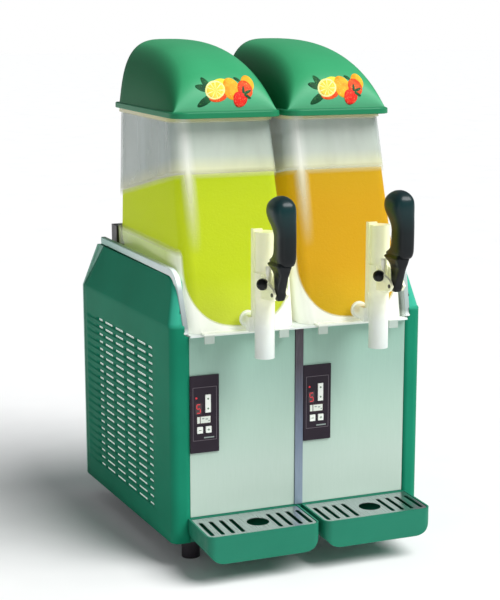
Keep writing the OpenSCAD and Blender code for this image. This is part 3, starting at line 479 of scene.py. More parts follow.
def frosted_bowl(name, centre_x, tint):
    """Clear plastic: frosted on the skirt, misted above the drink, clear in front of it."""
    finish = Finish(name, 0.22)
    masks = bowl_masks(finish, centre_x)
    finish.color(bowl_tint(finish, masks, tint))
    streaks = finish.scaled(finish.noise(9, 3, (1.6, 1.6, 0.5)), 0.3, 0.7, 0.40, 0.60)
    misted = finish.times(masks["mist"], streaks)
    frosted = finish.times(masks["skirt"], finish.maths("ADD", 0.62, finish.times(masks["painted_light_front"], 0.24)))
    frosted = finish.greater(frosted, finish.times(masks["hooks"], 0.75))
    # Painted light: the frosted skirt and the misted front glow, though the bowl is no lamp.
    glow = finish.times(finish.times(masks["mist"], masks["painted_light_front"]),
                        finish.maths("ADD", 0.26, finish.times(masks["foam"], 0.14)))
    finish.glow((0.97, 1.0, 0.82, 1.0), finish.greater(finish.times(frosted, 0.16), glow))
    cover = finish.greater(finish.maths("ADD", 0.01, misted), frosted)
    cover = finish.greater(cover, finish.times(masks["rim"], 0.7))
    cover = finish.greater(cover, masks["shine"])
    blend = finish.add("ShaderNodeMixShader")
    finish.feed(blend.inputs[0], cover)
    finish.feed(blend.inputs[1], finish.add("ShaderNodeBsdfTransparent").outputs[0])
    finish.feed(blend.inputs[2], finish.shader.outputs[0])
    finish.feed(finish.output.inputs["Surface"], blend.outputs[0])
    finish.bump(finish.noise(120, 3), 0.05, 0.5)
    return finish


def slush_finish(name, deep, bright, pale):
    """Frozen drink: granular, palest at the foot of the bowl and deepest at its surface. It glows, most on
    its sides: painted light.
    """
    finish = Finish(name, 0.6, specular=0.05)
    height = finish.scaled(finish.axes()[2], *DRINK_RANGE)
    tint = finish.ramp(height, [(0.0, pale), (0.30, bright), (0.75, bright), (1.0, deep)])
    grains = finish.noise(260, 4)
    tint = finish.mix(finish.scaled(grains, 0.45, 0.75, 0.0, 0.25), tint, pale)
    finish.color(tint)
    # Painted light: the drink glows, most where it faces sideways, to lift its sides out of shade.
    painted_side_glow = finish.scaled(finish.size(finish.facing()[0]), 0.5, 0.9, 0.40, 0.62)
    finish.glow(tint, painted_side_glow)
    finish.bump(grains, 0.5, 0.7)
    return finish


def tap_finish():
    """Milky plastic, cream at the top and whiter towards the nozzle, with a faint glow that is painted light.
    """
    finish = Finish("tap", 0.28, coat=0.3)
    finish.shader.inputs["Subsurface Weight"].default_value = 0.2
    finish.shader.inputs["Subsurface Radius"].default_value = (0.01, 0.01, 0.008)
    # Painted light: a faint glow lifts the tap out of the handle's shadow.
    finish.glow((0.90, 0.92, 0.66, 1.0), 0.12)
    height = finish.scaled(finish.axes()[2], *TAP_RANGE)
    tint = finish.ramp(height, [
        (0.0, (0.56, 0.62, 0.62)), (0.25, (0.70, 0.75, 0.72)), (0.50, (0.92, 0.93, 0.66)),
        (1.0, (0.95, 0.97, 0.56))])
    stains = finish.scaled(finish.noise(70, 4), 0.35, 0.7, 0, 0.18)
    finish.color(finish.mix(stains, tint, (0.55, 0.56, 0.48)))
    finish.bump(finish.noise(300, 2), 0.03)
    return finish


def handle_finish():
    """Gloss black with a bluish sheen where the light catches the upper front."""
    finish = Finish("handle", 0.32, coat=0.1, specular=0.22)
    height = finish.scaled(finish.axes()[2], *HANDLE_RANGE)
    tint = finish.ramp(height, [
        (0.0, (0.002, 0.003, 0.004)), (0.4, (0.003, 0.008, 0.009)), (0.8, (0.005, 0.032, 0.034)),
        (1.0, (0.008, 0.018, 0.020))])
    wear = finish.scaled(finish.noise(30, 3), 0.4, 0.7, 0, 0.2)
    finish.color(finish.mix(wear, tint, (0.012, 0.018, 0.022)))
    finish.bump(finish.noise(700, 2), 0.02)
    return finish


def filter_finish():
    """White mesh cloth: fine crossing threads, with a glow that is painted light."""
    finish = Finish("filter", 0.8)
    # Painted light: the cloth glows so the slots read bright.
    finish.glow((0.90, 1.0, 0.94, 1.0), 0.35)
    _, y, z = finish.axes()
    threads = [finish.maths("SINE", finish.times(axis, 4200.0)) for axis in (y, z)]
    weave = finish.greater(*threads)
    cloth = [(0.1, (0.70, 0.78, 0.72)), (0.7, (0.97, 1.0, 0.98))]
    finish.color(finish.ramp(finish.scaled(weave, -1, 1), cloth))
    finish.bump(weave, 0.15)
    return finish


def display_finish():
    """Glossy dark window with a red cast."""
    finish = Finish("display", 0.2, coat=0.5)
    cloud = finish.noise(120, 2)
    finish.color(finish.ramp(cloud, [(0.3, (0.030, 0.010, 0.014)), (0.7, (0.060, 0.018, 0.024))]))
    return finish


def make_finishes():
    """Every material, by the slot or piece that wears it."""
    makers = {
        "steel_sheet": lambda: brushed("steel_sheet", (0.55, 0.56, 0.57), 0.42),
        "rubber": lambda: moulded("rubber", (0.022, 0.014, 0.022), 0.6, 0.25, 0.05),
        "steel_fastener": lambda: brushed("steel_fastener", (0.66, 0.66, 0.67), 0.28, direction=(30,) * 3),
        "body_green": lambda: moulded(
            "body_green", (0.012, 0.190, 0.115), 0.46, 0.05, 0.02, specular=0.22),
        "shell": shell_green,
        "panel": panel_finish,
        "trim": trim_finish,
        "rear_panel": lambda: moulded("rear_panel", (0.30, 0.58, 0.47), 0.5, 0.06, 0.03),
        "deck": deck_finish,
        "compressor": lambda: moulded("compressor", (0.012, 0.012, 0.013), 0.25, 0.3, 0.05, coat=0.5),
        "fins": lambda: brushed("fins", (0.75, 0.76, 0.77), 0.35, direction=(2, 2, 60)),
        "filter": filter_finish,
        "motor": lambda: moulded("motor", (0.16, 0.17, 0.19), 0.55, 0.15, 0.12),
        "fan": lambda: moulded("fan", (0.03, 0.03, 0.033), 0.5, 0.2, 0.05),
        "copper": lambda: brushed("copper", (0.70, 0.34, 0.18), 0.32, direction=(8, 8, 8)),
        "dark_plastic": lambda: moulded("dark_plastic", (0.022, 0.018, 0.024), 0.4, 0.2, 0.03),
        "evaporator": lambda: brushed("evaporator", (0.70, 0.71, 0.72), 0.25, direction=(60, 1, 60)),
        "bezel": lambda: moulded("bezel", (0.018, 0.011, 0.020), 0.45, 0.18, 0.02, specular=0.25),
        "display": display_finish,
        "auger": lambda: moulded("auger", (0.86, 0.86, 0.83), 0.4, 0.04, 0.03),
        "tap": tap_finish,
        "spring": lambda: brushed("spring", (0.60, 0.60, 0.61), 0.3, direction=(20, 20, 20)),
        "piston": lambda: moulded("piston", (0.82, 0.82, 0.78), 0.4, 0.05, 0.02),
        "handle": handle_finish,
        "grate": lambda: brushed("grate", (0.62, 0.64, 0.66), 0.30, direction=(60, 1, 60)),
        "key": lambda: moulded("key", (0.86, 0.90, 0.84), 0.4, 0.06, 0.02),
        "lid_green": lid_green,
    }
    finishes = {slot: make().material for slot, make in makers.items()}
    finishes["slush_lime"] = slush_finish(
        "slush_lime", (0.31, 0.40, 0.004), (0.34, 0.42, 0.006), (0.40, 0.47, 0.03)).material
    finishes["slush_orange"] = slush_finish(
        "slush_orange", (0.41, 0.24, 0.003), (0.44, 0.235, 0.003), (0.46, 0.29, 0.008)).material
    finishes["left_bowl"] = frosted_bowl("bowl_lime", BOWL_X["left"], (0.56, 0.72, 0.14)).material
    finishes["right_bowl"] = frosted_bowl("bowl_orange", BOWL_X["right"], (0.74, 0.58, 0.16)).material
    return finishes


# ---- CAD nodes ----

# Softened edges by node, without its side
BEVELS = {
    "top_deck": 2.0, "front_rail": 1.0, "tap_body": 0.7, "control_bezels": 0.6, "drip_tray": 1.2,
    "slush": 3.0, "feet": 1.5, "grate": 0.3, "front_panel": 0.6, "centre_trim": 0.6, "rear_panel": 0.6,
    "motor_housing": 2.0, "power_key": 0.6, "mode_key": 0.6, "rocker_key": 0.8, "cabinet_screws": 0.5,
    "gear_motors": 2.0, "control_box": 1.0, "bowl": 0.6,
}


def dress_node(name, material):
    """Gives a CAD node its material, softened edges and smooth round faces."""
    kind = name.removeprefix("left_").removeprefix("right_")
    obj = frame["nodes"][name]
    mesh = obj.data
    mesh.materials.clear()
    mesh.materials.append(material)
    if "custom_normal" in mesh.attributes:
        mesh.attributes.remove(mesh.attributes["custom_normal"])
    weld = obj.modifiers.new("weld", "WELD")
    weld.merge_threshold = 1e-5
    if kind in BEVELS:
        add_bevel(obj, BEVELS[kind])
    split = obj.modifiers.new("edges", "EDGE_SPLIT")
    split.split_angle = math.radians(35)
    split.use_edge_sharp = False
    for polygon in mesh.polygons:
        polygon.use_smooth = True


def dress_nodes(finishes):
    """Dresses every CAD node. The two bowls share a slot but not a material."""
    for entry in frame["record"]["subparts"]:
        name, slot = entry["node"], entry["material_slot"]
        dress_node(name, finishes[name if slot == "bowl" else slot])


# ---- Side shells and the deck's bead ----

# Half widths at the front, and what they gain by the back
LOW_HALF, LOW_GAIN = 218, 30.5
HIGH_HALF, HIGH_GAIN = 198, 17
# The lean of the deck's sides at the front, and what it gains for each millimetre of depth
TUB_LEAN, TUB_GAIN = 0.045, 0.00033
# Louvres: each row is pressed in across the field, and cut through at the slots
LOUVRE_Z0 = 83
LOUVRE_PITCH = 13.2
LOUVRE_ROWS = 21
LOUVRE_DEPTH = 1.6
SLOT_HALF = 1.8
SLOTS = [(85, 103), (114.5, 152.5), (165.5, 203.5), (216.5, 254.5), (267.5, 305.5), (317, 336)]
FIELD = (79, 393)
FIELD_RAMP = 6
# The rear edge leans forward above the crease, and columns behind this depth lean with it
UPRIGHT_TO = 355
REAR_LEAN = 29 / 75
CORNER_R = 14
CORNER_STEPS = 8
BEAD_OUT = 1.6
BEAD_SUNK = 11


def side_half(y, z):
    """Half the cabinet's width, which grows towards the back and shrinks above the crease."""
    low = LOW_HALF + LOW_GAIN * y / BODY_D
    high = HIGH_HALF + HIGH_GAIN * y / BODY_D
    return low + (high - low) * max(0, z - CREASE_Z) / (TOP_Z - CREASE_Z)


def tub_half(y, z):
    """Half the width between the deck's leaning sides."""
    return PANEL_HALF + max(0, z - DECK_Z) * (TUB_LEAN + TUB_GAIN * y)


def fillet_start(top):
    """Height where the front slope turns into the shoulder's round."""
    return top - FILLET_RUN * math.cos(LEAN)


def slope_y(z):
    """Depth of the shells' front edge: upright, then leaning back, then rounded into the shoulder."""
    if z <= CREASE_Z:
        return 0
    if z <= fillet_start(SHOULDER_Z):
        return FRONT_LEAN * (z - DECK_Z)
    rise = z - SHOULDER_Z + FILLET
    return FRONT_LEAN * (SHOULDER_Z - DECK_Z) + FILLET_RUN - math.sqrt(max(0, FILLET ** 2 - rise ** 2))


def louvre_levels():
    """Heights of the shell's rows with how far each is pushed in, and which of them open a slot."""
    levels = [(z, 0, False) for z in (FOOT_H, 60, LOUVRE_Z0 - 8.4)]
    for k in range(LOUVRE_ROWS):
        z = LOUVRE_Z0 + LOUVRE_PITCH * k
        levels += [(z - SLOT_HALF - 2, 0, False), (z - SLOT_HALF, LOUVRE_DEPTH, True),
                   (z + SLOT_HALF, LOUVRE_DEPTH, False), (z + SLOT_HALF + 1.2, 0, False)]
    start = fillet_start(SHOULDER_Z)
    above = [365, PANEL_TOP, 383.5, 390, CREASE_Z, CREASE_Z + 3, CREASE_Z + 20, start]
    above += [start + (SHOULDER_Z - start) * math.sin(math.radians(a)) for a in range(9, 91, 9)]
    return levels + [(z, 0, False) for z in above]


def shell_path(z, depth, columns):
    """One level of a shell from its front edge round the corner to its rear: x, y and push inwards."""
    front = slope_y(z)
    edge = PANEL_HALF + 0.1 if z <= PANEL_TOP else tub_half(front, z) + STRIP_W
    half = side_half(front + CORNER_R, z)
    path = [(edge, front, 0), ((edge + half - CORNER_R) / 2, front, 0)]
    corner = arc(half - CORNER_R, front + CORNER_R, CORNER_R, 270, 360, CORNER_STEPS)
    path += [(x, y, 0) for x, y in corner]
    rear = BODY_D - 5 - max(0, z - CREASE_Z) * REAR_LEAN
    for y in columns:
        inside = min(1, max(0, (y - FIELD[0]) / FIELD_RAMP)) * min(1, max(0, (FIELD[1] - y) / FIELD_RAMP))
        if y > UPRIGHT_TO:
            y = UPRIGHT_TO + (rear - UPRIGHT_TO) * (y - UPRIGHT_TO) / (FIELD[1] - UPRIGHT_TO) * 0.72
        path.append((side_half(y, z), y, depth * inside))
    return path + [(side_half(rear, z), rear, 0)]


def side_shell(side, sign, finishes):
    """Louvred sheet that wraps the front corner, with its top turned in to the deck's bead."""
    columns = sorted({y for slot in SLOTS for y in slot}
                     | {60, *FIELD, FIELD[0] + FIELD_RAMP, FIELD[1] - FIELD_RAMP, UPRIGHT_TO})
    shape = Shape()
    levels = louvre_levels()
    rows = [shape.row([at(sign * (x - push), y, z) for x, y, push in shell_path(z, depth, columns)])
            for z, depth, _ in levels]
    # The columns come after the path's two front points and the corner's
    first = 2 + CORNER_STEPS + 1
    open_columns = {first + columns.index(low) for low, _ in SLOTS}
    for (_, _, opens), a, b in zip(levels, rows, rows[1:]):
        shape.bridge(a, b, closed=False, skip=open_columns if opens else ())
    lip = []
    for index in rows[-1]:
        _, y, z = shape.points[index]
        deep = (y - FRONT) / MM
        lip.append((sign * (tub_half(deep, SHOULDER_Z) + STRIP_W) * MM, y, z))
    shape.bridge(rows[-1], shape.row(lip), closed=False)
    piece(f"{side}_shell", shape, finishes["shell"], "cabinet",
          [f"{side}_side_shell"], angle=28, solid=1.3)


def deck_bead(side, sign, finishes):
    """The deck's raised edge, from the front ledge up the slope and back along the shoulder."""
    centre = (FRONT_LEAN * (TOP_Z - DECK_Z) + FILLET_RUN, TOP_Z - FILLET)
    slope = (DECK_Z + 1, 400, 415, 430, fillet_start(TOP_Z))
    stations = [(FRONT_LEAN * (z - DECK_Z), z, LEAN) for z in slope]
    for k in range(1, 9):
        turn = LEAN + (math.pi / 2 - LEAN) * k / 8
        stations.append((centre[0] - FILLET * math.cos(turn), centre[1] + FILLET * math.sin(turn), turn))
    stations += [(y, TOP_Z, math.pi / 2) for y in (120, 180, 240, 300, 360, BODY_D - 6)]
    shape = Shape()
    rings = []
    for y, z, turn in stations:
        inner = tub_half(y, z) - 0.4
        outer = tub_half(y, z) + STRIP_W + 2
        corners = ((inner, -BEAD_SUNK), (inner, BEAD_OUT), (outer, BEAD_OUT), (outer, -BEAD_SUNK))
        rings.append([at(sign * x, y - out * math.cos(turn), z + out * math.sin(turn)) for x, out in corners])
    shape.loft(rings)
    piece(f"{side}_deck_bead", shape, finishes["deck"], "cabinet", bevel=1.6, angle=30)


# ---- Lids ----

LID_HALF = 93
LID_FRONT = 62
LID_REAR = BODY_D - 23
LIP_H = 10
LIP_REAR_R = 8
LID_WALL = 3
# The dome narrows a little at its crown and at its nose
DOME_HALF = 90.5
CROWN_TAPER = 14
NOSE_TAPER = 2
DOME_REAR = LID_REAR - 24
DOME_FRONT = LID_FRONT + 16
DOME_H = 109
DOME_POWER = 2.4
DOME_EDGE_R = 6
DOME_STEPS = 44
ARCH_POWER = 0.58
ARCH_STEPS = 48


def lid_point(x0, crown, degrees, shrink=0.0):
    """A point of the dome, in cabinet millimetres.

    Crown turns from the rear, 0, to the front, 90, and degrees from the right side to the left, 180.
    """
    crown = math.radians(crown)
    along = math.sin(crown) ** (2 / DOME_POWER)
    y = DOME_REAR - shrink - (DOME_REAR - DOME_FRONT - 2 * shrink) * along
    rise = (DOME_H - shrink) * math.cos(crown) ** (2 / DOME_POWER)
    half = DOME_HALF - shrink - NOSE_TAPER * along ** 6
    angle = math.radians(degrees)
    up = abs(math.sin(angle)) ** ARCH_POWER
    out = (half - CROWN_TAPER * up) * abs(math.cos(angle)) ** ARCH_POWER
    side = 1 if degrees <= 90 else -1
    return x0 + side * out, y, LID_Z + LIP_H - 0.5 + rise * up


def lid_arch(x0, crown, shrink, behind=0.0):
    """The dome's arch at one crown angle, from right to left, moved a distance back."""
    back = Vector((0, behind * MM, 0))
    angles = [180 * i / ARCH_STEPS for i in range(ARCH_STEPS + 1)]
    return [at(*lid_point(x0, crown, degrees, shrink)) + back for degrees in angles]


def lid(side, finishes):
    """Dome and lip of one lid. The dome is returned for the fruit to lie on."""
    x0 = BOWL_X[side]
    body = f"{side}_lid_unit"
    shape = Shape()
    for wall in (0, LID_WALL):
        # The rear edge is rounded by starting with a few smaller arches
        rings = []
        for a in (0, 30, 60):
            smaller = DOME_EDGE_R * (1 - math.sin(math.radians(a)))
            rings.append(lid_arch(x0, 0, wall + smaller, DOME_EDGE_R * math.cos(math.radians(a))))
        rings += [lid_arch(x0, 89 * k / DOME_STEPS, wall) for k in range(DOME_STEPS + 1)]
        shape.loft(rings, closed=False)
    dome = piece(f"{side}_lid_dome", shape, finishes["lid_green"], body, [f"{side}_lid"],
                 angle=50)
    outer = [lip_ring(x0, z, LID_HALF + grow, LID_FRONT - grow, LID_REAR + grow, 24) for z, grow in (
        (0.3, -0.8), (1.2, 0), (LIP_H - 1.6, 0), (LIP_H, -1.4))]
    inner = [lip_ring(x0, z, LID_HALF - 12, DOME_FRONT + 8, DOME_REAR - 6, 20) for z in (LIP_H, 0.3)]
    lip = Shape()
    rows = [lip.row(ring) for ring in outer + inner]
    for a, b in zip(rows, rows[1:] + rows[:1]):
        lip.bridge(a, b)
    piece(f"{side}_lid_lip", lip, finishes["lid_green"], body, angle=40)
    return dome


def lip_ring(x0, z, half, front, rear, r):
    """A rounded oblong at height z over the lid's foot, with front corners of radius r."""
    side, end = half - LIP_REAR_R, rear - LIP_REAR_R
    outline = (arc(-half + r, front + r, r, 180, 270, 12) + arc(half - r, front + r, r, 270, 360, 12)
               + arc(side, end, LIP_REAR_R, 0, 90, 5) + arc(-side, end, LIP_REAR_R, 90, 180, 5))
    return [at(x0 + x, y, LID_Z + z) for x, y in outline]


# ---- Fruit pictures on the lids: thin skins that follow the dome ----

FRUIT_SCALE = 1.08
FRUIT_Z = 755
SKIN_GAP = 0.05


def on_surface(tree, x, z, lift):
    """A point in front of the dome at x, z in cabinet millimetres, lifted off its surface."""
    hit, normal, _, _ = tree.ray_cast(at(x, -200, z), Vector((0, 1, 0)))
    if normal.y > 0:
        normal = -normal
    return hit + normal * lift * MM


def skin(name, tree, outline, x0, z0, lift, material, body):
    """A flat outline in millimetres laid on the dome as rings that shrink to its middle."""
    cx = sum(p[0] for p in outline) / len(outline)
    cz = sum(p[1] for p in outline) / len(outline)
    shape = Shape()
    rows = []
    for scale, rise in ((1.0, 0.0), (0.97, lift), (0.75, lift), (0.5, lift), (0.25, lift)):
        ring = [(x0 + cx + (x - cx) * scale, z0 + cz + (z - cz) * scale) for x, z in outline]
        rows.append(shape.row([on_surface(tree, x, z, rise + SKIN_GAP) for x, z in ring]))
    for a, b in zip(rows, rows[1:]):
        shape.bridge(a, b)
    centre = shape.row([on_surface(tree, x0 + cx, z0 + cz, lift + SKIN_GAP)])[0]
    last = rows[-1]
    for i, index in enumerate(last):
        shape.faces.append((index, last[(i + 1) % len(last)], centre))
    piece(name, shape, material, body, angle=60)


def turned(points, cx, cz, degrees):
    """Points turned about the origin, then moved to cx, cz."""
    c, s = math.cos(math.radians(degrees)), math.sin(math.radians(degrees))
    return [(cx + x * c - z * s, cz + x * s + z * c) for x, z in points]


def ellipse(cx, cz, a, b, degrees):
    """A fruit's outline with half lengths a and b."""
    return turned([(a * math.cos(t), b * math.sin(t)) for t in turns(28)], cx, cz, degrees)


def leaf(x, z, length, width, degrees):
    """A leaf from its foot at x, z, widest nearer the foot than the tip."""
    points = []
    for t in turns(24):
        along = length * (0.5 - 0.5 * math.cos(t))
        points.append((along, width * 0.5 * math.sin(t) * (1 - 0.35 * along / length)))
    return turned(points, x, z, degrees)


def berry(cx, cz, size, degrees):
    """A strawberry's outline: broad shoulders that narrow to a point."""
    points = [(size * math.sin(t) * (1 + 0.18 * math.cos(t)), size * (1.05 * math.cos(t) - 0.05))
              for t in turns(28)]
    return turned(points, cx, cz, degrees)


def fruit_finish(name, edge, middle, speck, speck_scale=500):
    """Cloudy skin with small specks."""
    finish = Finish(name, 0.55, specular=0.12)
    cloud = finish.noise(70, 3)
    base = finish.ramp(cloud, [(0.30, edge), (0.65, middle)])
    specks = finish.scaled(finish.noise(speck_scale, 2), 0.62, 0.70)
    finish.color(finish.mix(specks, base, speck))
    return finish.material


def citrus_finish(name, centre):
    """Cut citrus: segments as wedges round a centre, between paler walls."""
    finish = Finish(name, 0.55, specular=0.12)
    x, _, z = finish.axes()
    angle = finish.maths("ARCTAN2", finish.minus(z, centre.z), finish.minus(x, centre.x))
    wedge = finish.size(finish.maths("SINE", finish.times(angle, 4.5)))
    flesh = finish.scaled(wedge, 0.10, 0.35)
    pulp = finish.ramp(finish.noise(600, 3), [(0.3, (0.85, 0.50, 0.02)), (0.7, (0.95, 0.76, 0.12))])
    finish.color(finish.mix(flesh, (0.98, 0.90, 0.45), pulp))
    return finish.material


def fruit_materials():
    return {
        "leaf": fruit_finish("leaf", (0.006, 0.045, 0.020), (0.012, 0.10, 0.035), (0.10, 0.34, 0.06)),
        "rim": fruit_finish("lemon_rim", (0.90, 0.82, 0.16), (0.97, 0.93, 0.42), (0.98, 0.96, 0.60)),
        "lemon": fruit_finish("lemon", (0.80, 0.72, 0.03), (0.92, 0.84, 0.08), (0.95, 0.92, 0.20)),
        "orange": fruit_finish("orange", (0.80, 0.26, 0.01), (0.93, 0.50, 0.03), (0.97, 0.66, 0.12)),
        "red": fruit_finish("red_fruit", (0.72, 0.03, 0.01), (0.86, 0.10, 0.02), (0.95, 0.45, 0.10)),
        "berry": fruit_finish("berry", (0.70, 0.01, 0.01), (0.86, 0.03, 0.02), (0.95, 0.55, 0.20), 900),
    }


def fruit_cluster(side, dome, parts):
    """Generic lemons, oranges and berries with leaves, laid on a lid's front."""
    bpy.context.view_layer.update()
    tree = BVHTree.FromObject(dome, bpy.context.evaluated_depsgraph_get())
    x0 = BOWL_X[side] + 3
    cut = citrus_finish(f"{side}_cut_lemon", at(x0 - 17 * FRUIT_SCALE, 0, FRUIT_Z + 1))
    layers = [
        ("leaf_up", leaf(-26, 4, 17, 12, 118), 0.20, parts["leaf"]),
        ("leaf_out", leaf(-27, 2, 20, 12, 166), 0.20, parts["leaf"]),
        ("leaf_down", leaf(-24, -8, 27, 13, 212), 0.20, parts["leaf"]),
        ("lemon_back", ellipse(-8, 5, 17, 11.5, 18), 0.25, parts["lemon"]),
        ("orange_back", ellipse(-14, -8, 15, 8, 10), 0.25, parts["red"]),
        ("orange", ellipse(9, 2, 13.5, 16, 12), 0.35, parts["orange"]),
        ("lemon_rim", ellipse(-17, 1, 16.5, 13, 24), 0.50, parts["rim"]),
        ("lemon_cut", ellipse(-17, 1, 14, 10.6, 24), 0.70, cut),
        ("peach", ellipse(36, 9, 10.5, 12, -20), 0.30, parts["orange"]),
        ("red_fruit", ellipse(30, 1, 12, 13, 10), 0.45, parts["red"]),
        ("berry", berry(20, -13, 11, -24), 0.60, parts["berry"]),
        ("calyx_a", leaf(27, -5, 13, 5, 20), 0.80, parts["leaf"]),
        ("calyx_b", leaf(27, -6, 12, 5, -30), 0.80, parts["leaf"]),
        ("calyx_c", leaf(26, -5, 11, 4.5, 80), 0.80, parts["leaf"]),
        ("stalk", leaf(25, 13, 10, 5, 150), 0.60, parts["leaf"]),
    ]
    for name, outline, lift, material in layers:
        outline = [(x * FRUIT_SCALE, z * FRUIT_SCALE) for x, z in outline]
        skin(f"{side}_{name}", tree, outline, x0, FRUIT_Z, lift, material, f"{side}_lid_unit")


# ---- Handles and the caps on their pivots ----

PIVOT_Y = -134
PIVOT_Z = 465
TAP_DX = 5
HANDLE_DX = 4
# Height, front, back, half width and sideways shift, from the pivot: the grip, then the lug below it
GRIP = [
    (44, -21, 18, 7.5, 0), (46, -25.5, 29, 11.5, 0), (50, -28, 29, 13.4, 0), (56, -28.8, 17, 14, 0),
    (64, -28.8, 11, 14, 0), (78, -28.8, 9.4, 14, 0), (90, -28.8, 9.6, 14, 0), (101, -28.8, 13, 15.2, -1),
    (111, -28.8, 18, 17, -2.6), (121, -28.8, 22.2, 18.3, -3.4), (130, -28, 22.6, 18, -3.3),
    (137, -25.6, 20, 16, -3), (143, -19.5, 13.5, 11.6, -2.6), (146.6, -12, 6.5, 6.4, -2.2),
    (147.8, -5, -1, 2, -2)]
LUG = [
    (-9, -4, 3, 4.5, 0), (-6, -7, 5, 6.5, 0), (4, -9.5, 7, 6.8, 0), (16, -15, 9, 6.8, 0),
    (29, -21, 12, 6.8, 0), (36, -23, 15, 9, 0), (41, -24, 24, 10.5, 0), (45, -24.5, 27, 11.5, 0),
    (52, -22, 12, 8, 0)]
# Half width and half height of the finger that reaches back into the tap, and its stations
FINGER = (3.4, 2.9)
FINGER_Y = (-5, 18, 38, 54)
# Distance along the pivot cap's axis and radius
CAP = [(-6.4, 6.6), (-4, 8.3), (0, 9.2), (3.5, 8.5), (5.6, 7.2), (5.9, 6.6), (6.9, 6.0), (8.3, 4.0),
       (9.0, 1.6), (9.2, 0.2)]


def rounded_ring(x0, z, front, back, half, shift, power=3.4):
    """A level ring between an ellipse and an oblong: squarer as the power grows."""
    middle, deep = (front + back) / 2, (back - front) / 2
    ring = []
    for t in turns(40):
        c, s = math.cos(t), math.sin(t)
        x = half * math.copysign(abs(c) ** (2 / power), c)
        y = deep * math.copysign(abs(s) ** (2 / power), s)
        ring.append(at(x0 + shift + x, PIVOT_Y + middle + y, PIVOT_Z + z))
    return ring


def handle(side, finishes):
    """Grip, lug and finger of one handle."""
    x = BOWL_X[side] + TAP_DX
    shape = Shape()
    shape.loft([rounded_ring(x + HANDLE_DX, *row) for row in curve_through(GRIP, 4)])
    shape.loft([rounded_ring(x, *row, power=5) for row in curve_through(LUG, 3)])
    corners = [(u * FINGER[0], v * FINGER[1]) for u, v in ((-1, -1), (-1, 1), (1, 1), (1, -1))]
    shape.loft([[at(x + dx, PIVOT_Y + y, PIVOT_Z + dz) for dx, dz in corners] for y in FINGER_Y])
    piece(f"{side}_handle_grip", shape, finishes["handle"], f"{side}_handle_unit",
          [f"{side}_handle"], angle=45)


def pivot_cap(side, finishes):
    """Round black cap over the ball in the tap's left ear, facing out and forward."""
    centre = at(BOWL_X[side] + TAP_DX - 16.6, -106.4, PIVOT_Z + 12)
    axis = Vector((-0.8, -0.6, 0))
    across = Vector((0.6, -0.8, 0))
    around = [across * math.cos(t) + Vector((0, 0, math.sin(t))) for t in turns(32)]
    shape = Shape()
    shape.loft([[centre + (axis * along + spoke * radius) * MM for spoke in around] for along, radius in CAP])
    piece(f"{side}_pivot_cap", shape, finishes["handle"], f"{side}_bowl_unit", angle=50)


# ---- Marks on the control panels ----

BEZEL_X = {"left": -188.5, "right": 6}
BEZEL_Z = 191
BEZEL_FACE = -2.5
KEY_RISE = 1.5
# Bars from a panel's lower left corner: x, z, width, height, then from and to, measured off its face
OUTLINE = [
    (24, 107, 40, 0.8, 0, 0.25), (24, 20.5, 40, 0.8, 0, 0.25),
    (4.4, 63.7, 0.8, 86, 0, 0.25), (43.6, 63.7, 0.8, 86, 0, 0.25)]
DIGIT = [
    (13.5, 79.5, 5.2, 1.6, 0.3, 0.6), (10.6, 76.1, 1.6, 5.4, 0.3, 0.6), (13.5, 72.5, 5.2, 1.6, 0.3, 0.6),
    (16.4, 68.9, 1.6, 5.4, 0.3, 0.6), (13.5, 65.5, 5.2, 1.6, 0.3, 0.6)]
STATUS = [(25, 54, 16.5, 10.5, 0.3, 0.6), (13.3, 54, 4.5, 10.5, 0.3, 0.5)]
LINES = [
    (21, 56, 4, 1.6, 0.6, 0.75), (27, 55, 4, 1.6, 0.6, 0.75), (31, 52, 2.5, 1.6, 0.6, 0.75),
    (31, 24.5, 17, 2.0, 0, 0.25)]
MINUS = [(15.6, 37.5, 4.4, 1.0, KEY_RISE, KEY_RISE + 0.2)]
PLUS = [
    (30.1, 37.5, 4.4, 1.0, KEY_RISE, KEY_RISE + 0.2), (30.1, 37.5, 1.0, 4.4, KEY_RISE, KEY_RISE + 0.25)]


def bars(side, rows):
    """The bars of one mark, as a shape."""
    shape = Shape()
    for x, z, w, h, low, high in rows:
        x, z = x + BEZEL_X[side], z + BEZEL_Z
        shape.block((x - w / 2, BEZEL_FACE - high, z - h / 2), (x + w / 2, BEZEL_FACE - low, z + h / 2))
    return shape


def discs(side, places, levels):
    """Round bosses at x, z on a panel, each a stack of (radius, distance off the face) levels."""
    shape = Shape()
    for x, z in places:
        x, z = x + BEZEL_X[side], z + BEZEL_Z
        shape.loft([[at(x + r * math.cos(t), BEZEL_FACE - off, z + r * math.sin(t)) for t in turns(24)]
                    for r, off in levels])
    return shape


def control_marks(side, marks):
    """Outline, digit, lamp, status marks and the signs on the keys."""
    lamp = discs(side, [(10, 90)], [(1.7, -0.3), (1.7, 0.3), (1.0, 0.7)])
    dots = discs(side, [(29.3, 72), (29.3, 88)], [(1.5, 1.2), (1.5, 1.5)])
    piece(f"{side}_outline", bars(side, OUTLINE), marks["outline"], "cabinet")
    piece(f"{side}_digit", bars(side, DIGIT), marks["red"], "cabinet", bevel=0.15)
    piece(f"{side}_lamp", lamp, marks["red"], "cabinet")
    piece(f"{side}_strip", bars(side, STATUS), marks["pale"], "cabinet", bevel=0.2)
    piece(f"{side}_lines", bars(side, LINES), marks["grey"], "cabinet")
    piece(f"{side}_minus", bars(side, MINUS), marks["sign"], f"{side}_power_unit")
    piece(f"{side}_plus", bars(side, PLUS), marks["sign"], f"{side}_mode_unit")
    piece(f"{side}_dots", dots, marks["sign"], f"{side}_rocker_unit")


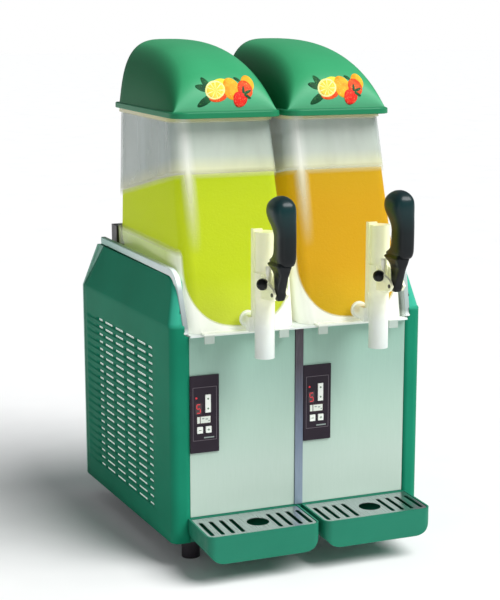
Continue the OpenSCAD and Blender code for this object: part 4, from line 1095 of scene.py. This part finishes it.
def mark_materials():
    red = moulded("red_segments", (0.62, 0.02, 0.03), 0.4, 0.1, 0.01)
    red.glow((0.60, 0.02, 0.03, 1.0), 0.25)
    return {
        "outline": moulded("outline_ink", (0.12, 0.10, 0.12), 0.5, 0.1, 0.01).material,
        "red": red.material,
        "pale": moulded("status_strip", (0.72, 0.78, 0.70), 0.4, 0.12, 0.01).material,
        "grey": moulded("grey_ink", (0.26, 0.32, 0.30), 0.5, 0.1, 0.01).material,
        "sign": moulded("sign_ink", (0.10, 0.20, 0.12), 0.5, 0.1, 0.01).material,
    }


# ---- Studio ----

LENS = 85.9
CAMERA_TURN = -21.48
CAMERA_RISE = 11.30
CAMERA_RANGE = 2.466
CAMERA_TARGET = (-12, 190, 391)
FLOOR_HALF = 30


def add_camera():
    camera = bpy.data.cameras.new("camera")
    camera.lens = LENS
    camera.sensor_width = 36
    viewer = bpy.data.objects.new("camera", camera)
    bpy.context.collection.objects.link(viewer)
    azimuth, elevation = math.radians(CAMERA_TURN), math.radians(CAMERA_RISE)
    back = Vector((math.sin(azimuth) * math.cos(elevation), -math.cos(azimuth) * math.cos(elevation),
                   math.sin(elevation)))
    viewer.location = at(*CAMERA_TARGET) + back * CAMERA_RANGE
    viewer.rotation_euler = (-back).to_track_quat("-Z", "Y").to_euler()
    bpy.context.scene.camera = viewer


def add_lamp(name, kind, place, power):
    """A lamp that faces the middle of the machine."""
    light = bpy.data.lights.new(name, kind)
    light.energy = power
    lamp = bpy.data.objects.new(name, light)
    lamp.location = place
    lamp.rotation_euler = (Vector((0, 0, 0.4)) - Vector(place)).to_track_quat("-Z", "Y").to_euler()
    bpy.context.collection.objects.link(lamp)
    return light


def add_world():
    """Dim cool light all round, behind a backdrop that looks white."""
    world = bpy.data.worlds.new("studio")
    bpy.context.scene.world = world
    world.use_nodes = True
    tree = world.node_tree
    ambient = tree.nodes["Background"]
    ambient.inputs["Color"].default_value = (0.95, 0.98, 1.0, 1.0)
    ambient.inputs["Strength"].default_value = 0.22
    backdrop = tree.nodes.new("ShaderNodeBackground")
    backdrop.inputs["Color"].default_value = (1.0, 1.0, 1.0, 1.0)
    path = tree.nodes.new("ShaderNodeLightPath")
    switch = tree.nodes.new("ShaderNodeMixShader")
    tree.links.new(path.outputs["Is Camera Ray"], switch.inputs[0])
    tree.links.new(ambient.outputs[0], switch.inputs[1])
    tree.links.new(backdrop.outputs[0], switch.inputs[2])
    tree.links.new(switch.outputs[0], tree.nodes["World Output"].inputs["Surface"])


def add_floor():
    corners = [(x * FLOOR_HALF, y * FLOOR_HALF, 0) for x, y in ((-1, -1), (1, -1), (1, 1), (-1, 1))]
    mesh = bpy.data.meshes.new("floor")
    mesh.from_pydata(corners, [], [(0, 1, 2, 3)])
    floor = bpy.data.objects.new("floor", mesh)
    bpy.context.collection.objects.link(floor)
    paper = Finish("paper", 0.9, specular=0.1)
    paper.color(paper.ramp(paper.noise(6, 2), [(0.3, (0.88,) * 3), (0.7, (0.91,) * 3)]))
    mesh.materials.append(paper.material)


def studio():
    """Soft sun from the right, a faint strip on the left, and a white floor and backdrop."""
    add_camera()
    add_lamp("key", "SUN", (0.60, -0.62, 1.45), 3.8).angle = math.radians(40)
    strip = add_lamp("strip", "AREA", (-1.7, -2.4, 0.9), 4)
    strip.shape = "RECTANGLE"
    strip.size, strip.size_y = 0.22, 1.5
    add_world()
    add_floor()
    bpy.context.scene.view_settings.view_transform = "Standard"


def build():
    finishes = make_finishes()
    dress_nodes(finishes)
    fruit = fruit_materials()
    marks = mark_materials()
    for side, sign in SIDES:
        side_shell(side, sign, finishes)
        deck_bead(side, sign, finishes)
        dome = lid(side, finishes)
        fruit_cluster(side, dome, fruit)
        handle(side, finishes)
        pivot_cap(side, finishes)
        control_marks(side, marks)
    studio()


build()
